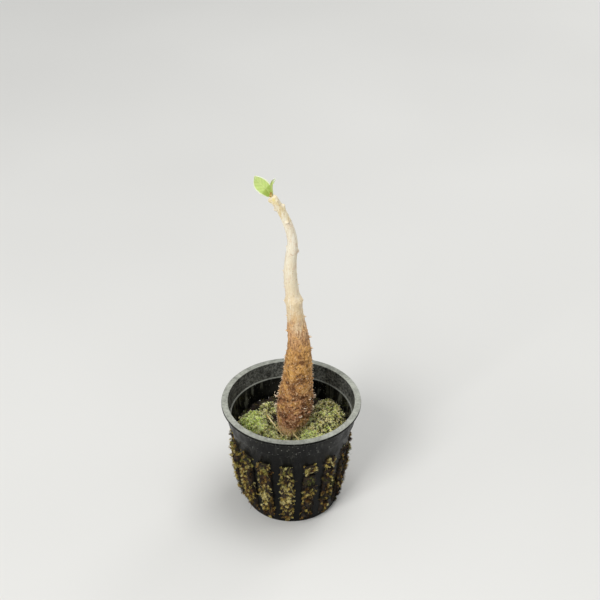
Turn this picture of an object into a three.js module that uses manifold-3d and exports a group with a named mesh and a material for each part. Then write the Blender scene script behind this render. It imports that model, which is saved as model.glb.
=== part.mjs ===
// A young ant plant: a spiny, bottle-shaped stem in a slotted net pot packed with moss.
// Millimetres, +Z up. The origin is the middle of the pot's underside and the front faces -Y.

import * as THREE from 'three';
import { mergeVertices } from 'three/addons/utils/BufferGeometryUtils.js';
import Module from 'manifold-3d';

const wasm = await Module();
wasm.setup();

// Room left between neighbouring pieces, and the number of facets round the pot.
const GAP = 0.35;
const POT_FACETS = 48;

// The pot: a cone with a flat rim, a wide band under it and a step where the band ends.
const POT_HEIGHT = 65;
const RIM_RADIUS = 37.5;
const RIM_WIDTH = 3.5;
const RIM_DEPTH = 2;
const RIM_ROUNDING = 0.4;
const WALL = 0.95;
const BAND_TOP_RADIUS = 35;
const BAND_FOOT_RADIUS = 34.4;
const STEP_HEIGHT = 53;
const STEP_DROP = 1;
const LEDGE_HEIGHT = 55.5;
const LEDGE_RADIUS = 33.4;
const STEP_RADIUS = 32.95;
const BASE_RADIUS = 25.5;
const BASE_THICKNESS = 1.2;

// The slots: one row of short windows over one row of long slots, and radial slots in the base.
const SLOT_COUNT = 16;
const SLOT_FIRST_BEARING = THREE.MathUtils.degToRad(-4.2);
const SLOT_HALF_ANGLE = THREE.MathUtils.degToRad(6.5);
const SLOT_FOOT = 2.6;
const SLOT_BAR_LOW = 36.4;
const SLOT_BAR_HIGH = 38.6;
const SLOT_TOP = 44.5;
const SLOT_CUT_INNER = 20;
const BASE_SLOT_INNER = 13;
const BASE_SLOT_OUTER = 22.5;

// The growing medium, and how far its moss pushes out through the slots.
const MEDIUM_MIDDLE_HEIGHT = 41.5;
const MEDIUM_EDGE_HEIGHT = 44.2;
const MEDIUM_LEVEL_RADIUS = 28;
const MEDIUM_RIPPLE = 0.5;
const TONGUE_ROOT = 3;
const BULGE = 2.3;
const BULGE_STEPS = 4;
const BULGE_EXTRA = 1;
const BULGE_HEAVY_BEARING = THREE.MathUtils.degToRad(-80);

// The stem: height, sideways place of the centre, and width, from the rounded foot to the blunt tip.
const STEM_STATIONS = [
  [39.6, -1.6, 3],
  [42, -1.5, 7.6],
  [47, -0.8, 12.2],
  [52, 1.1, 16.8],
  [58, 1.9, 19.4],
  [66, 2.5, 19.4],
  [80, 3.7, 16],
  [97, 4.4, 12.6],
  [113, 3.2, 9.8],
  [129, 1.6, 8.4],
  [144, -0.1, 6.6],
  [159, 1.1, 5.6],
  [165, 1.2, 4.9],
  [173, -0.7, 4.4],
  [180, -3.5, 4.3],
  [185, -6, 4.2],
  [189.4, -8.4, 3.9],
];
const STEM_FACETS = 16;
const STEM_RINGS = 30;

// The short root spines on the stem.
const SPINE_COUNT = 26;
const SPINE_LOW = 60;
const SPINE_HIGH = 166;
const SPINE_LENGTH = 2.2;
const SPINE_ROOT = 1;
const SPINE_RADIUS = 1;
const SPINE_TILT = 0.35;
const GOLDEN_ANGLE = Math.PI * (3 - Math.sqrt(5));

const MATERIALS = {
  pot: { color: 0x17181a, roughness: 0.45, metalness: 0 },
  medium: { color: 0x6b4a26, roughness: 0.95, metalness: 0 },
  greenMoss: { color: 0x8aa53a, roughness: 0.9, metalness: 0 },
  oliveMoss: { color: 0x8a8444, roughness: 0.9, metalness: 0 },
  bark: { color: 0xb08a58, roughness: 0.8, metalness: 0 },
  leaf: { color: 0xb9d67c, roughness: 0.45, metalness: 0 },
  stipule: { color: 0xa8803f, roughness: 0.7, metalness: 0 },
  straw: { color: 0xc9a765, roughness: 0.75, metalness: 0 },
};

// A closed geometry as a solid: shared corners are merged and triangles with no area are dropped.
function solidOf(geometry) {
  const bare = geometry.index ? geometry.toNonIndexed() : geometry.clone();
  bare.deleteAttribute('normal');
  bare.deleteAttribute('uv');
  const merged = mergeVertices(bare, 1e-3);
  const corners = merged.index.array;
  const kept = [];
  for (let i = 0; i < corners.length; i += 3) {
    const [a, b, c] = corners.slice(i, i + 3);
    if (a !== b && b !== c && c !== a) kept.push(a, b, c);
  }
  return new wasm.Manifold(
    new wasm.Mesh({
      numProp: 3,
      vertProperties: new Float32Array(merged.attributes.position.array),
      triVerts: Uint32Array.from(kept),
    }),
  );
}

function meshOf(name, solid, finish) {
  const { vertProperties, triVerts } = solid.getMesh();
  const indexed = new THREE.BufferGeometry();
  indexed.setAttribute('position', new THREE.BufferAttribute(vertProperties, 3));
  indexed.setIndex(new THREE.BufferAttribute(triVerts, 1));
  const geometry = indexed.toNonIndexed();
  geometry.computeVertexNormals();
  const mesh = new THREE.Mesh(geometry, new THREE.MeshStandardMaterial(MATERIALS[finish]));
  mesh.name = name;
  return mesh;
}

// A profile of [radius, height] pairs spun round the Z axis.
function turned(profile, facets = POT_FACETS) {
  const points = profile.map(([radius, height]) => new THREE.Vector2(radius, height));
  return new THREE.LatheGeometry(points, facets).rotateX(Math.PI / 2);
}

// Moves every corner of a geometry by a function that changes the point it is given.
function reshaped(geometry, move) {
  const position = geometry.attributes.position;
  const point = new THREE.Vector3();
  for (let i = 0; i < position.count; i += 1) {
    move(point.fromBufferAttribute(position, i));
    position.setXYZ(i, point.x, point.y, point.z);
  }
  return geometry;
}

// An upright wedge between two radii and two heights. Bearings start at the front and grow to +X.
function wedge(bearing, halfAngle, inner, outer, low, high) {
  const shape = new THREE.Shape();
  const corner = (radius, angle) => [radius * Math.sin(angle), -radius * Math.cos(angle)];
  shape.moveTo(...corner(inner, bearing - halfAngle));
  shape.lineTo(...corner(outer, bearing - halfAngle));
  shape.lineTo(...corner(outer, bearing + halfAngle));
  shape.lineTo(...corner(inner, bearing + halfAngle));
  shape.closePath();
  const geometry = new THREE.ExtrudeGeometry(shape, { depth: high - low, bevelEnabled: false });
  return solidOf(geometry.translate(0, 0, low));
}

function wedges(halfAngle, inner, outer, low, high) {
  const all = [];
  for (let i = 0; i < SLOT_COUNT; i += 1) {
    const bearing = SLOT_FIRST_BEARING + (i * 2 * Math.PI) / SLOT_COUNT;
    all.push(wedge(bearing, halfAngle, inner, outer, low, high));
  }
  return wasm.Manifold.union(all);
}

// Radius of the pot's tapered wall on its outside, below the step.
function wallRadius(height) {
  return BASE_RADIUS + ((STEP_RADIUS - BASE_RADIUS) * height) / STEP_HEIGHT;
}

function potSolid() {
  const rimInner = RIM_RADIUS - RIM_WIDTH;
  const rimUnderside = POT_HEIGHT - RIM_DEPTH;
  const body = solidOf(
    turned([
      [0, 0],
      [BASE_RADIUS - RIM_ROUNDING, 0],
      [BASE_RADIUS, RIM_ROUNDING],
      [STEP_RADIUS, STEP_HEIGHT],
      [BAND_FOOT_RADIUS, STEP_HEIGHT + STEP_DROP],
      [BAND_TOP_RADIUS, rimUnderside],
      [RIM_RADIUS - RIM_ROUNDING, rimUnderside],
      [RIM_RADIUS, rimUnderside + RIM_ROUNDING],
      [RIM_RADIUS, POT_HEIGHT - RIM_ROUNDING],
      [RIM_RADIUS - RIM_ROUNDING, POT_HEIGHT],
      [rimInner, POT_HEIGHT],
      [LEDGE_RADIUS, LEDGE_HEIGHT],
      [STEP_RADIUS - WALL, LEDGE_HEIGHT],
      [wallRadius(BASE_THICKNESS) - WALL, BASE_THICKNESS],
      [0, BASE_THICKNESS],
    ]),
  );
  const longSlots = wedges(SLOT_HALF_ANGLE, SLOT_CUT_INNER, RIM_RADIUS, SLOT_FOOT, SLOT_BAR_LOW);
  const windows = wedges(SLOT_HALF_ANGLE, SLOT_CUT_INNER, RIM_RADIUS, SLOT_BAR_HIGH, SLOT_TOP);
  const baseSlots = wedges(SLOT_HALF_ANGLE, BASE_SLOT_INNER, BASE_SLOT_OUTER, -1, BASE_THICKNESS + 1);
  return body.subtract(longSlots).subtract(windows).subtract(baseSlots);
}

// The pot's inside from the base to the ledge, pulled in by the gap.
function potInside() {
  const foot = BASE_THICKNESS + GAP;
  const radius = (height) => wallRadius(height) - WALL - GAP;
  return solidOf(
    turned([
      [0, foot],
      [radius(foot), foot],
      [radius(LEDGE_HEIGHT), LEDGE_HEIGHT],
      [0, LEDGE_HEIGHT],
    ]),
  );
}

// The stem's centre and half-width at any height, smoothed through the stations.
const stemSpline = new THREE.CatmullRomCurve3(
  STEM_STATIONS.map(([height, middle, width]) => new THREE.Vector3(middle, width / 2, height)),
);

function stemAt(height) {
  let low = 0;
  let high = 1;
  for (let i = 0; i < 24; i += 1) {
    const middle = (low + high) / 2;
    if (stemSpline.getPoint(middle).z < height) low = middle;
    else high = middle;
  }
  const point = stemSpline.getPoint(low);
  return { middle: point.x, radius: point.y };
}

// The bare stem, grown on all sides by a margin: a turned profile whose rings are slid along X.
function stemBody(margin = 0) {
  const foot = STEM_STATIONS[0][0];
  const tip = STEM_STATIONS.at(-1)[0];
  const profile = [[0, foot - margin - 0.6]];
  for (let ring = 0; ring <= STEM_RINGS; ring += 1) {
    const height = THREE.MathUtils.lerp(foot, tip, ring / STEM_RINGS);
    profile.push([stemAt(height).radius + margin, height]);
  }
  profile.push([0, tip + margin + 0.6]);
  return solidOf(
    reshaped(turned(profile, STEM_FACETS), (point) => {
      point.x += stemAt(THREE.MathUtils.clamp(point.z, foot, tip)).middle;
    }),
  );
}

// One root spine: a short cone rooted in the bark, which points out and a little upwards.
function spine(height, bearing, length) {
  const { middle, radius } = stemAt(height);
  const whole = length + SPINE_ROOT;
  const cone = new THREE.ConeGeometry(SPINE_RADIUS, whole, 5).translate(0, whole / 2 - SPINE_ROOT, 0);
  cone.rotateX(Math.PI - SPINE_TILT).translate(0, -radius, 0).rotateZ(bearing);
  return solidOf(cone.translate(middle, 0, height));
}

function stemSolid() {
  const pieces = [stemBody()];
  for (let i = 0; i < SPINE_COUNT; i += 1) {
    const height = THREE.MathUtils.lerp(SPINE_LOW, SPINE_HIGH, i / (SPINE_COUNT - 1));
    const length = SPINE_LENGTH * (0.8 + 0.2 * Math.sin(i * 2.1)) * (1 - i / SPINE_COUNT / 3);
    pieces.push(spine(height, i * GOLDEN_ANGLE, length));
  }
  return wasm.Manifold.union(pieces);
}

// How far the moss stands out of the wall at one height and bearing, most at the left.
function mossBulge(height, bearing) {
  const rise = Math.sin((Math.PI * (height - SLOT_FOOT + 4)) / (SLOT_TOP - SLOT_FOOT + 10));
  return rise * (BULGE + BULGE_EXTRA * Math.cos(bearing - BULGE_HEAVY_BEARING));
}

// Moss that fills the slots: a bulging ring, cut into a tongue for each window and slot.
function mossTongues() {
  const low = SLOT_FOOT + GAP;
  const high = SLOT_TOP - GAP;
  const profile = [];
  for (let i = 0; i <= BULGE_STEPS; i += 1) {
    const height = THREE.MathUtils.lerp(low, high, i / BULGE_STEPS);
    profile.push([wallRadius(height), height]);
  }
  profile.push([wallRadius(high) - TONGUE_ROOT, high], [wallRadius(low) - TONGUE_ROOT, low], profile[0]);
  const ring = reshaped(turned(profile), (point) => {
    const radius = Math.hypot(point.x, point.y);
    if (radius < wallRadius(point.z) - WALL) return;
    const grown = (radius + mossBulge(point.z, Math.atan2(point.x, -point.y))) / radius;
    point.x *= grown;
    point.y *= grown;
  });
  const narrow = SLOT_HALF_ANGLE - GAP / BASE_RADIUS;
  const reach = RIM_RADIUS + BULGE;
  const windows = wedges(narrow, SLOT_CUT_INNER, reach, SLOT_BAR_HIGH + GAP, high);
  const slots = wedges(narrow, SLOT_CUT_INNER, reach, low, SLOT_BAR_LOW - GAP);
  return solidOf(ring).intersect(windows.add(slots));
}

// The medium's top: low in the middle where the stem's foot sits, and level with the slots at the wall.
function mediumTop(x, y) {
  const rise = Math.min(1, Math.hypot(x, y) / MEDIUM_LEVEL_RADIUS) ** 2;
  const ripple = MEDIUM_RIPPLE * Math.sin(x * 0.55 + 1) * Math.cos(y * 0.48);
  return THREE.MathUtils.lerp(MEDIUM_MIDDLE_HEIGHT + ripple, MEDIUM_EDGE_HEIGHT, rise);
}

// Everything under the medium's top, raised by a lift, between a foot radius and an edge radius.
function underTop(footRadius, edgeRadius, lift) {
  const foot = BASE_THICKNESS + GAP;
  const profile = [
    [0, foot],
    [footRadius, foot],
    [edgeRadius, MEDIUM_EDGE_HEIGHT],
  ];
  for (let radius = MEDIUM_LEVEL_RADIUS; radius >= 0; radius -= MEDIUM_LEVEL_RADIUS / 4) {
    profile.push([radius, MEDIUM_EDGE_HEIGHT]);
  }
  return solidOf(
    reshaped(turned(profile), (point) => {
      if (point.z > foot + 1) point.z = mediumTop(point.x, point.y) + lift;
    }),
  );
}

function mediumSolid() {
  const radius = (height) => wallRadius(height) - WALL - GAP;
  const plug = underTop(radius(BASE_THICKNESS + GAP), radius(MEDIUM_EDGE_HEIGHT), 0);
  return plug.add(mossTongues()).subtract(stemBody(GAP));
}

// A dome of live moss, trimmed to the medium below it, the wall beside it and the stem.
function cushionSolid({ centre, size, ripple }) {
  const ball = new THREE.IcosahedronGeometry(1, CUSHION_DETAIL);
  reshaped(ball, (point) => {
    const swell = 1 + ripple * Math.sin(5 * point.x + 2) * Math.cos(6 * point.y) * Math.cos(4 * point.z);
    point.multiplyScalar(swell);
    point.set(point.x * size[0], point.y * size[1], point.z * size[2]);
  });
  const top = mediumTop(centre[0], centre[1]);
  return solidOf(ball.translate(centre[0], centre[1], top + centre[2]))
    .subtract(underTop(RIM_RADIUS, RIM_RADIUS, GAP))
    .intersect(potInside())
    .subtract(stemBody(GAP));
}

const CUSHION_DETAIL = 3;

// The five cushions: middle (X, Y and height over the medium), half-sizes and how lumpy they are.
const CUSHIONS = {
  moss_cushion_left: { centre: [-21, 4.5, 0.2], size: [6.6, 9.5, 4.4], ripple: 0.06, finish: 'greenMoss' },
  moss_cushion_front_left: { centre: [-12, -4.5, 0], size: [4.2, 4.4, 3.2], ripple: 0.06, finish: 'oliveMoss' },
  moss_cushion_back_left: { centre: [-13, 18.6, 0], size: [5.4, 5.6, 4.6], ripple: 0.08, finish: 'oliveMoss' },
  moss_cushion_right: { centre: [20.8, 8.2, 0.4], size: [9.2, 14.6, 8.6], ripple: 0.07, finish: 'oliveMoss' },
  moss_cushion_front: { centre: [9.6, -5.8, 0], size: [4.8, 4.8, 3.8], ripple: 0.06, finish: 'greenMoss' },
};

// The open leaf: an outline in the stem's own plane, from its base up and left to its tip.
const LEAF_BASE = [-9.9, 191.2];
const LEAF_TIP = [-17.4, 200.6];
const LEAF_LOWER_EDGE = [
  [-12.4, 190.2],
  [-17, 193.6],
  [-17.3, 197.4],
];
const LEAF_UPPER_EDGE = [
  [-15.6, 200.5],
  [-11.2, 199.8],
  [-8.8, 196],
];
const LEAF_THICKNESS = 0.6;

function leafSolid() {
  const shape = new THREE.Shape();
  shape.moveTo(...LEAF_BASE);
  shape.bezierCurveTo(...LEAF_LOWER_EDGE[0], ...LEAF_LOWER_EDGE[1], ...LEAF_LOWER_EDGE[2]);
  shape.lineTo(...LEAF_TIP);
  shape.lineTo(...LEAF_UPPER_EDGE[0]);
  shape.bezierCurveTo(...LEAF_UPPER_EDGE[1], ...LEAF_UPPER_EDGE[2], ...LEAF_BASE);
  const options = { depth: LEAF_THICKNESS, bevelEnabled: false, curveSegments: 8 };
  const geometry = new THREE.ExtrudeGeometry(shape, options).rotateX(Math.PI / 2);
  return solidOf(geometry.translate(0, LEAF_THICKNESS / 2, 0));
}

// A thin stalk or blade: a round section carried along a smooth curve.
function strand(points, halfWidth, steps) {
  const section = new THREE.Shape();
  section.absarc(0, 0, halfWidth, 0, 2 * Math.PI);
  const path = new THREE.CatmullRomCurve3(points.map((point) => new THREE.Vector3(...point)));
  const options = { extrudePath: path, steps, curveSegments: 4, bevelEnabled: false };
  return solidOf(new THREE.ExtrudeGeometry(section, options));
}

// The young leaf is still folded: a narrow blade with a kink near its pale tip.
const YOUNG_LEAF_PATH = [
  [-9.1, 1, 190.9],
  [-9.1, 1.1, 194],
  [-9.2, 1.1, 196.8],
  [-8.3, 1, 198.3],
  [-7.5, 1, 199.8],
];
const YOUNG_LEAF_HALF_WIDTH = 0.5;

// The dry stipule at the front of the leaf bases.
const STIPULE_PATH = [
  [-9.4, -1.3, 190.6],
  [-9.5, -1.5, 191.8],
  [-9.8, -1.5, 193],
];
const STIPULE_HALF_WIDTH = 0.5;

// A dry straw and a short needle, both lying on the medium by the stem's foot.
const STRAW_PATH = [
  [-12.4, 10.6, 46.2],
  [-10.4, 6.8, 45.4],
  [-8.6, 2.6, 44.4],
  [-7, -2.4, 43.4],
  [-6.2, -7, 43.2],
];
const STRAW_HALF_WIDTH = 0.55;
const NEEDLE_PATH = [
  [2.6, -5.4, 44.6],
  [3.2, -8.4, 43.6],
  [3.9, -11.4, 43.2],
];
const NEEDLE_HALF_WIDTH = 0.4;

const plant = new THREE.Group();
plant.add(meshOf('net_pot', potSolid(), 'pot'));
plant.add(meshOf('growing_medium', mediumSolid(), 'medium'));
for (const [name, cushion] of Object.entries(CUSHIONS)) {
  plant.add(meshOf(name, cushionSolid(cushion), cushion.finish));
}
plant.add(meshOf('stem', stemSolid(), 'bark'));
plant.add(meshOf('leaf_open', leafSolid(), 'leaf'));
plant.add(meshOf('leaf_young', strand(YOUNG_LEAF_PATH, YOUNG_LEAF_HALF_WIDTH, 8), 'leaf'));
plant.add(meshOf('stipule', strand(STIPULE_PATH, STIPULE_HALF_WIDTH, 4), 'stipule'));
plant.add(meshOf('dry_straw', strand(STRAW_PATH, STRAW_HALF_WIDTH, 8), 'straw'));
plant.add(meshOf('dry_needle', strand(NEEDLE_PATH, NEEDLE_HALF_WIDTH, 4), 'straw'));

export default plant;
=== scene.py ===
# %% [markdown]
# # A young ant plant in a net pot
#
# This lesson builds the looks of a small potted plant. It has a spiny, bottle-shaped stem with one
# open leaf and one folded leaf. It stands in a black slotted pot, packed with moss that bulges out
# of every slot. A finished frame of plain solids is loaded first. It says how big each piece is and
# where it stands, and each piece modelled here takes the place of one of those solids.

# %% Load the frame
import math
import random

import bmesh
import bpy
import numpy as np
from mathutils import Matrix, Vector, noise


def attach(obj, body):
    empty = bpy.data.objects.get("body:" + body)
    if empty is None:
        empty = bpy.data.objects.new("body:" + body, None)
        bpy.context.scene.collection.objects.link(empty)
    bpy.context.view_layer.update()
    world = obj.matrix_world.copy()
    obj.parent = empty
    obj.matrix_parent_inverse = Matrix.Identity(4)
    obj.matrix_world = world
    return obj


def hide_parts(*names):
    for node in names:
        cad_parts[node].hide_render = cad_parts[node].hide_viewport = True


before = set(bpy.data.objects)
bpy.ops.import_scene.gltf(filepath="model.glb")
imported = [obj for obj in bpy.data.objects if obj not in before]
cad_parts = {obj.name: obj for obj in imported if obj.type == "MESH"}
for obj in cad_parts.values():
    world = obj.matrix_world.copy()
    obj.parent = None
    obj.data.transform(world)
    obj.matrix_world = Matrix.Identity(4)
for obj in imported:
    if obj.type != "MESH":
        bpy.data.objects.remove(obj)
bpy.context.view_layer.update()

MM = 0.001
bpy.ops.object.select_all(action="DESELECT")
print("nodes in the frame:", ", ".join(sorted(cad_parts)))

# %% [markdown]
# ## Camera
#
# The photograph looks down on the pot by 34 degrees through a fairly long lens, a little to the
# right of the pot's axis. A long lens keeps the rim's ellipse flat and the slots parallel, so the
# field of view matters as much as the place.

# %% Camera
CAMERA_PLACE = (4.7 * MM, -572.1 * MM, 514.9 * MM)
CAMERA_TILT = math.radians(33.99)
FIELD_OF_VIEW = math.radians(25)

bpy.ops.object.camera_add(location=CAMERA_PLACE, rotation=(math.pi / 2 - CAMERA_TILT, 0, 0))
camera = bpy.context.object
camera.name = "camera"
camera.data.angle = FIELD_OF_VIEW
bpy.context.scene.camera = camera
print("lens of", round(camera.data.lens, 1), "mm")

# %% [markdown]
# ## Light
#
# The light is soft: one large lamp in front at the left, as in the photograph, a weaker one above,
# one behind, and a pale room all round. The larger a lamp is, the softer the edge of its shadow.

# %% Lights
LAMPS = [
    # name, place and size in metres, power in watts
    ("lamp_front_left", (-0.75, -1.15, 1.25), 0.7, 20),
    ("lamp_above", (0.35, 0.1, 1.7), 0.9, 11),
    ("lamp_behind", (0.9, 1.2, 0.8), 0.6, 5),
]
MIDDLE_OF_PLANT = Vector((0, 0, 90 * MM))
ROOM_COLOUR = (0.86, 0.88, 0.9, 1)
ROOM_LIGHT = 0.4

for name, place, size, power in LAMPS:
    bpy.ops.object.light_add(type="AREA", location=place)
    lamp = bpy.context.object
    lamp.name = name
    lamp.data.size = size
    lamp.data.energy = power
    lamp.rotation_euler = (MIDDLE_OF_PLANT - Vector(place)).to_track_quat("-Z", "Y").to_euler()
world = bpy.data.worlds.new("pale room")
world.use_nodes = True
world.node_tree.nodes["Background"].inputs["Color"].default_value = ROOM_COLOUR
world.node_tree.nodes["Background"].inputs["Strength"].default_value = ROOM_LIGHT
bpy.context.scene.world = world
bpy.context.scene.view_settings.view_transform = "Standard"
print(len(LAMPS), "lamps and a pale room")

# %% [markdown]
# ## Helpers for materials
#
# A colour picked from a screen is an sRGB hex value, and the shader wants linear light, so one
# function converts it. Another adds any shader node with its settings and its links. A link is given
# as the node before it, when its first output is meant, or else as the output socket. A colour
# ramp's stops are given as pairs. The scale of a pattern is worked out from the size of its grains
# on the real thing.

# %% Colour and node helpers
def srgb(code):
    """A hex colour such as "c9a765" as linear red, green, blue and alpha."""
    parts = [int(code[i:i + 2], 16) / 255 for i in (0, 2, 4)]
    return [p / 12.92 if p <= 0.04045 else ((p + 0.055) / 1.055) ** 2.4 for p in parts] + [1]


def plug_in(tree, node, inputs):
    """Links an input when its value is a node or an output socket, and sets it otherwise."""
    for socket, value in inputs.items():
        if isinstance(value, bpy.types.Node):
            value = value.outputs[0]
        if isinstance(value, bpy.types.NodeSocket):
            tree.links.new(value, node.inputs[socket])
        else:
            node.inputs[socket].default_value = value


def add_node(tree, kind, inputs=None, stops=None, **settings):
    """Adds a shader node, sets its properties, and sets or links its inputs."""
    node = tree.nodes.new("ShaderNode" + kind)
    for name, value in settings.items():
        setattr(node, name, value)
    plug_in(tree, node, inputs or {})
    if stops:
        ramp = node.color_ramp.elements
        while len(ramp) < len(stops):
            ramp.new(0.5)
        for element, (place, colour) in zip(ramp, stops):
            element.position = place
            element.color = srgb(colour)
    return node


def new_material(name, values):
    """A material with some values set: itself, its tree, its shader and the place on the object."""
    material = bpy.data.materials.new(name)
    material.use_nodes = True
    tree = material.node_tree
    shader = tree.nodes["Principled BSDF"]
    plug_in(tree, shader, values)
    return material, tree, shader, add_node(tree, "TexCoord").outputs["Object"]


def grains(size):
    """The scale of a pattern whose grains are about so many millimetres apart."""
    return 1 / (size * MM)


def wear(piece, material):
    """Gives a piece one material in place of any it had."""
    piece.data.materials.clear()
    piece.data.materials.append(material)
    print(piece.name, "wears", material.name)


# %% [markdown]
# ## Floor
#
# The plant stands on a plain pale board, much larger than the picture. Matt paint scatters light,
# so it is rough, and wide clouds keep it from looking like flat grey paper.

# %% Floor
FLOOR_WIDTH = 6
floor_material, tree, shader, place = new_material("matte white board", {"Roughness": 0.8})
cloud = add_node(tree, "TexNoise", {"Vector": place, "Scale": grains(333)})
tone = add_node(tree, "ValToRGB", {"Fac": cloud}, [(0.3, "d9d8d4"), (0.7, "e0dfdb")])
plug_in(tree, shader, {"Base Color": tone})
bpy.ops.mesh.primitive_plane_add(size=FLOOR_WIDTH)
floor = bpy.context.object
floor.name = "floor"
wear(floor, floor_material)

# %% [markdown]
# ## Helpers for modelling
#
# Most pieces here are made as by hand: a ring of edges is added and pulled up or in, again and
# again, with each new ring scaled and moved to its place. `pull_ring` does one such pull. The
# helpers take millimetres, because the pieces are that small.

# %% Modelling helpers
def only(piece):
    """Selects one object alone."""
    bpy.ops.object.select_all(action="DESELECT")
    piece.select_set(True)
    bpy.context.view_layer.objects.active = piece


def start_ring(name, corners, radius, height, turn=0.0, middle=(0, 0)):
    """Adds an open ring of edges and leaves it selected in edit mode."""
    place = (middle[0] * MM, middle[1] * MM, height * MM)
    bpy.ops.mesh.primitive_circle_add(
        vertices=corners, radius=radius * MM, location=place, rotation=(0, 0, turn))
    piece = bpy.context.object
    piece.name = name
    bpy.ops.object.transform_apply(location=True, rotation=True, scale=True)
    bpy.ops.object.mode_set(mode="EDIT")
    bpy.ops.mesh.select_mode(type="EDGE")
    bpy.ops.mesh.select_all(action="SELECT")
    return {"piece": piece, "radius": radius, "height": height, "middle": Vector(middle)}


def pull_ring(ring, radius, height, middle=None):
    """Extrudes the selected ring and brings the new one to a radius, height and middle."""
    old = ring["middle"]
    middle = old if middle is None else Vector(middle)
    bpy.ops.mesh.extrude_region_move()
    grow = radius / ring["radius"]
    pivot = (old.x * MM, old.y * MM, ring["height"] * MM)
    bpy.ops.transform.resize(value=(grow, grow, 1), center_override=pivot)
    step = ((middle.x - old.x) * MM, (middle.y - old.y) * MM, (height - ring["height"]) * MM)
    bpy.ops.transform.translate(value=step)
    ring.update(radius=radius, height=height, middle=middle)


def choose(mesh, kind, test):
    """Selects just the faces, edges or vertices of an edit mesh that pass a test."""
    bpy.ops.mesh.select_all(action="DESELECT")
    bpy.ops.mesh.select_mode(type={"faces": "FACE", "edges": "EDGE", "verts": "VERT"}[kind])
    built = bmesh.from_edit_mesh(mesh)
    for element in getattr(built, kind):
        if test(element):
            element.select_set(True)
    built.select_flush_mode()
    bmesh.update_edit_mesh(mesh)


def close_ends(mesh):
    """Fills every open ring, then turns all faces outwards."""
    choose(mesh, "edges", lambda edge: edge.is_boundary)
    bpy.ops.mesh.edge_face_add()
    bpy.ops.mesh.select_all(action="SELECT")
    bpy.ops.mesh.normals_make_consistent(inside=False)


def finish_modifier(piece, kind, **settings):
    """Adds a modifier, sets it and applies it."""
    only(piece)
    modifier = piece.modifiers.new(kind.lower(), kind)
    for name, value in settings.items():
        setattr(modifier, name, value)
    bpy.ops.object.modifier_apply(modifier=modifier.name)


def faces_of(piece):
    """How many triangles a piece has."""
    return sum(len(polygon.vertices) - 2 for polygon in piece.data.polygons)


def take_place(piece, slot, *nodes):
    """Makes a finished piece stand for its plain solids, in the body that holds everything."""
    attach(piece, "root")
    if nodes:
        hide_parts(*nodes)
    print(piece.name, "has", faces_of(piece), "triangles")


# %% [markdown]
# ## The net pot
#
# The pot is one injection moulding in black polypropylene, with a flat rim, a plain band, a small
# step that shows inside as a ledge, and 16 columns of slots. It could be spun from a profile and
# cut with booleans. Pulling rings and deleting the faces of the slots keeps every face a clean
# quad, so the bevels on the slot edges come out even.

# %% Pot sizes
SLOTS = 16
FACES_PER_SLOT = 7
FACES_PER_RIB = 5
FIRST_SLOT = math.radians(-4.2)
SLOT_FOOT, BAR_LOW, BAR_HIGH, SLOT_TOP = 2.6, 36.4, 38.6, 44.5
BASE_SLOT_IN, BASE_SLOT_OUT = 13, 22.5
BASE_RADIUS, STEP_RADIUS, STEP_HEIGHT = 25.5, 32.95, 53
WALL, FLOOR_TOP = 0.95, 1.2
columns = SLOTS * (FACES_PER_SLOT + FACES_PER_RIB)
column_angle = 2 * math.pi / columns
slot_half = column_angle * FACES_PER_SLOT / 2
pitch = 2 * math.pi / SLOTS


def wall_radius(height):
    """Outer radius of the tapered wall, in millimetres."""
    return BASE_RADIUS + (STEP_RADIUS - BASE_RADIUS) * height / STEP_HEIGHT


def bearing_of(point):
    """Angle round the pot from the front, growing to the right."""
    return math.atan2(point.x, -point.y)


def from_slot(point):
    """Angle between a point and the middle of its nearest slot."""
    return (bearing_of(point) - FIRST_SLOT + pitch / 2) % pitch - pitch / 2


print(columns, "columns of faces round the pot")

# %% [markdown]
# The profile starts under the base, at the edge of the solid disc in its middle. It runs up the
# outside to the rim and comes back down the inside to the upper side of that disc. Each bend has
# two or three rings close together, which round it as the mould does.

# %% Pull the pot's profile
OUTSIDE = [
    (BASE_SLOT_OUT, 0), (25.1, 0), (25.42, 0.12), (BASE_RADIUS, 0.45),
    (wall_radius(SLOT_FOOT), SLOT_FOOT), (wall_radius(BAR_LOW), BAR_LOW),
    (wall_radius(BAR_HIGH), BAR_HIGH), (wall_radius(SLOT_TOP), SLOT_TOP),
    (wall_radius(52.6), 52.6), (33.1, 53.1), (34.25, 53.8), (34.42, 54.2),
    (34.95, 62.6), (35.15, 62.95), (36.95, 63.05), (37.36, 63.2), (37.5, 63.6),
    (37.5, 64.4), (37.36, 64.8), (36.95, 65),
]
INSIDE = [
    (34.4, 65), (34.12, 64.9), (34, 64.6), (33.25, 55.85), (33.15, 55.6), (32.5, 55.5),
    (32.35, 55.3), (32.1, 51), (wall_radius(SLOT_TOP) - WALL, SLOT_TOP),
    (wall_radius(BAR_HIGH) - WALL, BAR_HIGH),
    (wall_radius(BAR_LOW) - WALL, BAR_LOW), (wall_radius(SLOT_FOOT) - WALL, SLOT_FOOT),
    (24.7, 1.5), (24.4, FLOOR_TOP), (BASE_SLOT_OUT, FLOOR_TOP), (BASE_SLOT_IN, FLOOR_TOP),
]

ring = start_ring("pot", columns, BASE_SLOT_IN, 0, FIRST_SLOT + column_angle / 2)
pot = ring["piece"]
for radius, height in OUTSIDE + INSIDE:
    pull_ring(ring, radius, height)
print("pulled", len(OUTSIDE + INSIDE), "rings")

# %% [markdown]
# The disc is filled first, below and above. A slot is opened by deleting the faces of the outer and
# the inner wall inside it. What is left are two rings of open edges a wall's thickness apart, and
# bridging them makes the sides of the slot. The same is done in the base. A small bevel then takes
# the sharpness off every edge, as on any moulding, and that thin bevel is what catches the light.

# %% Cut the slots
EDGE_BEVEL = 0.13 * MM
SHARP, SMOOTH = math.radians(50), math.radians(32)


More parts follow.
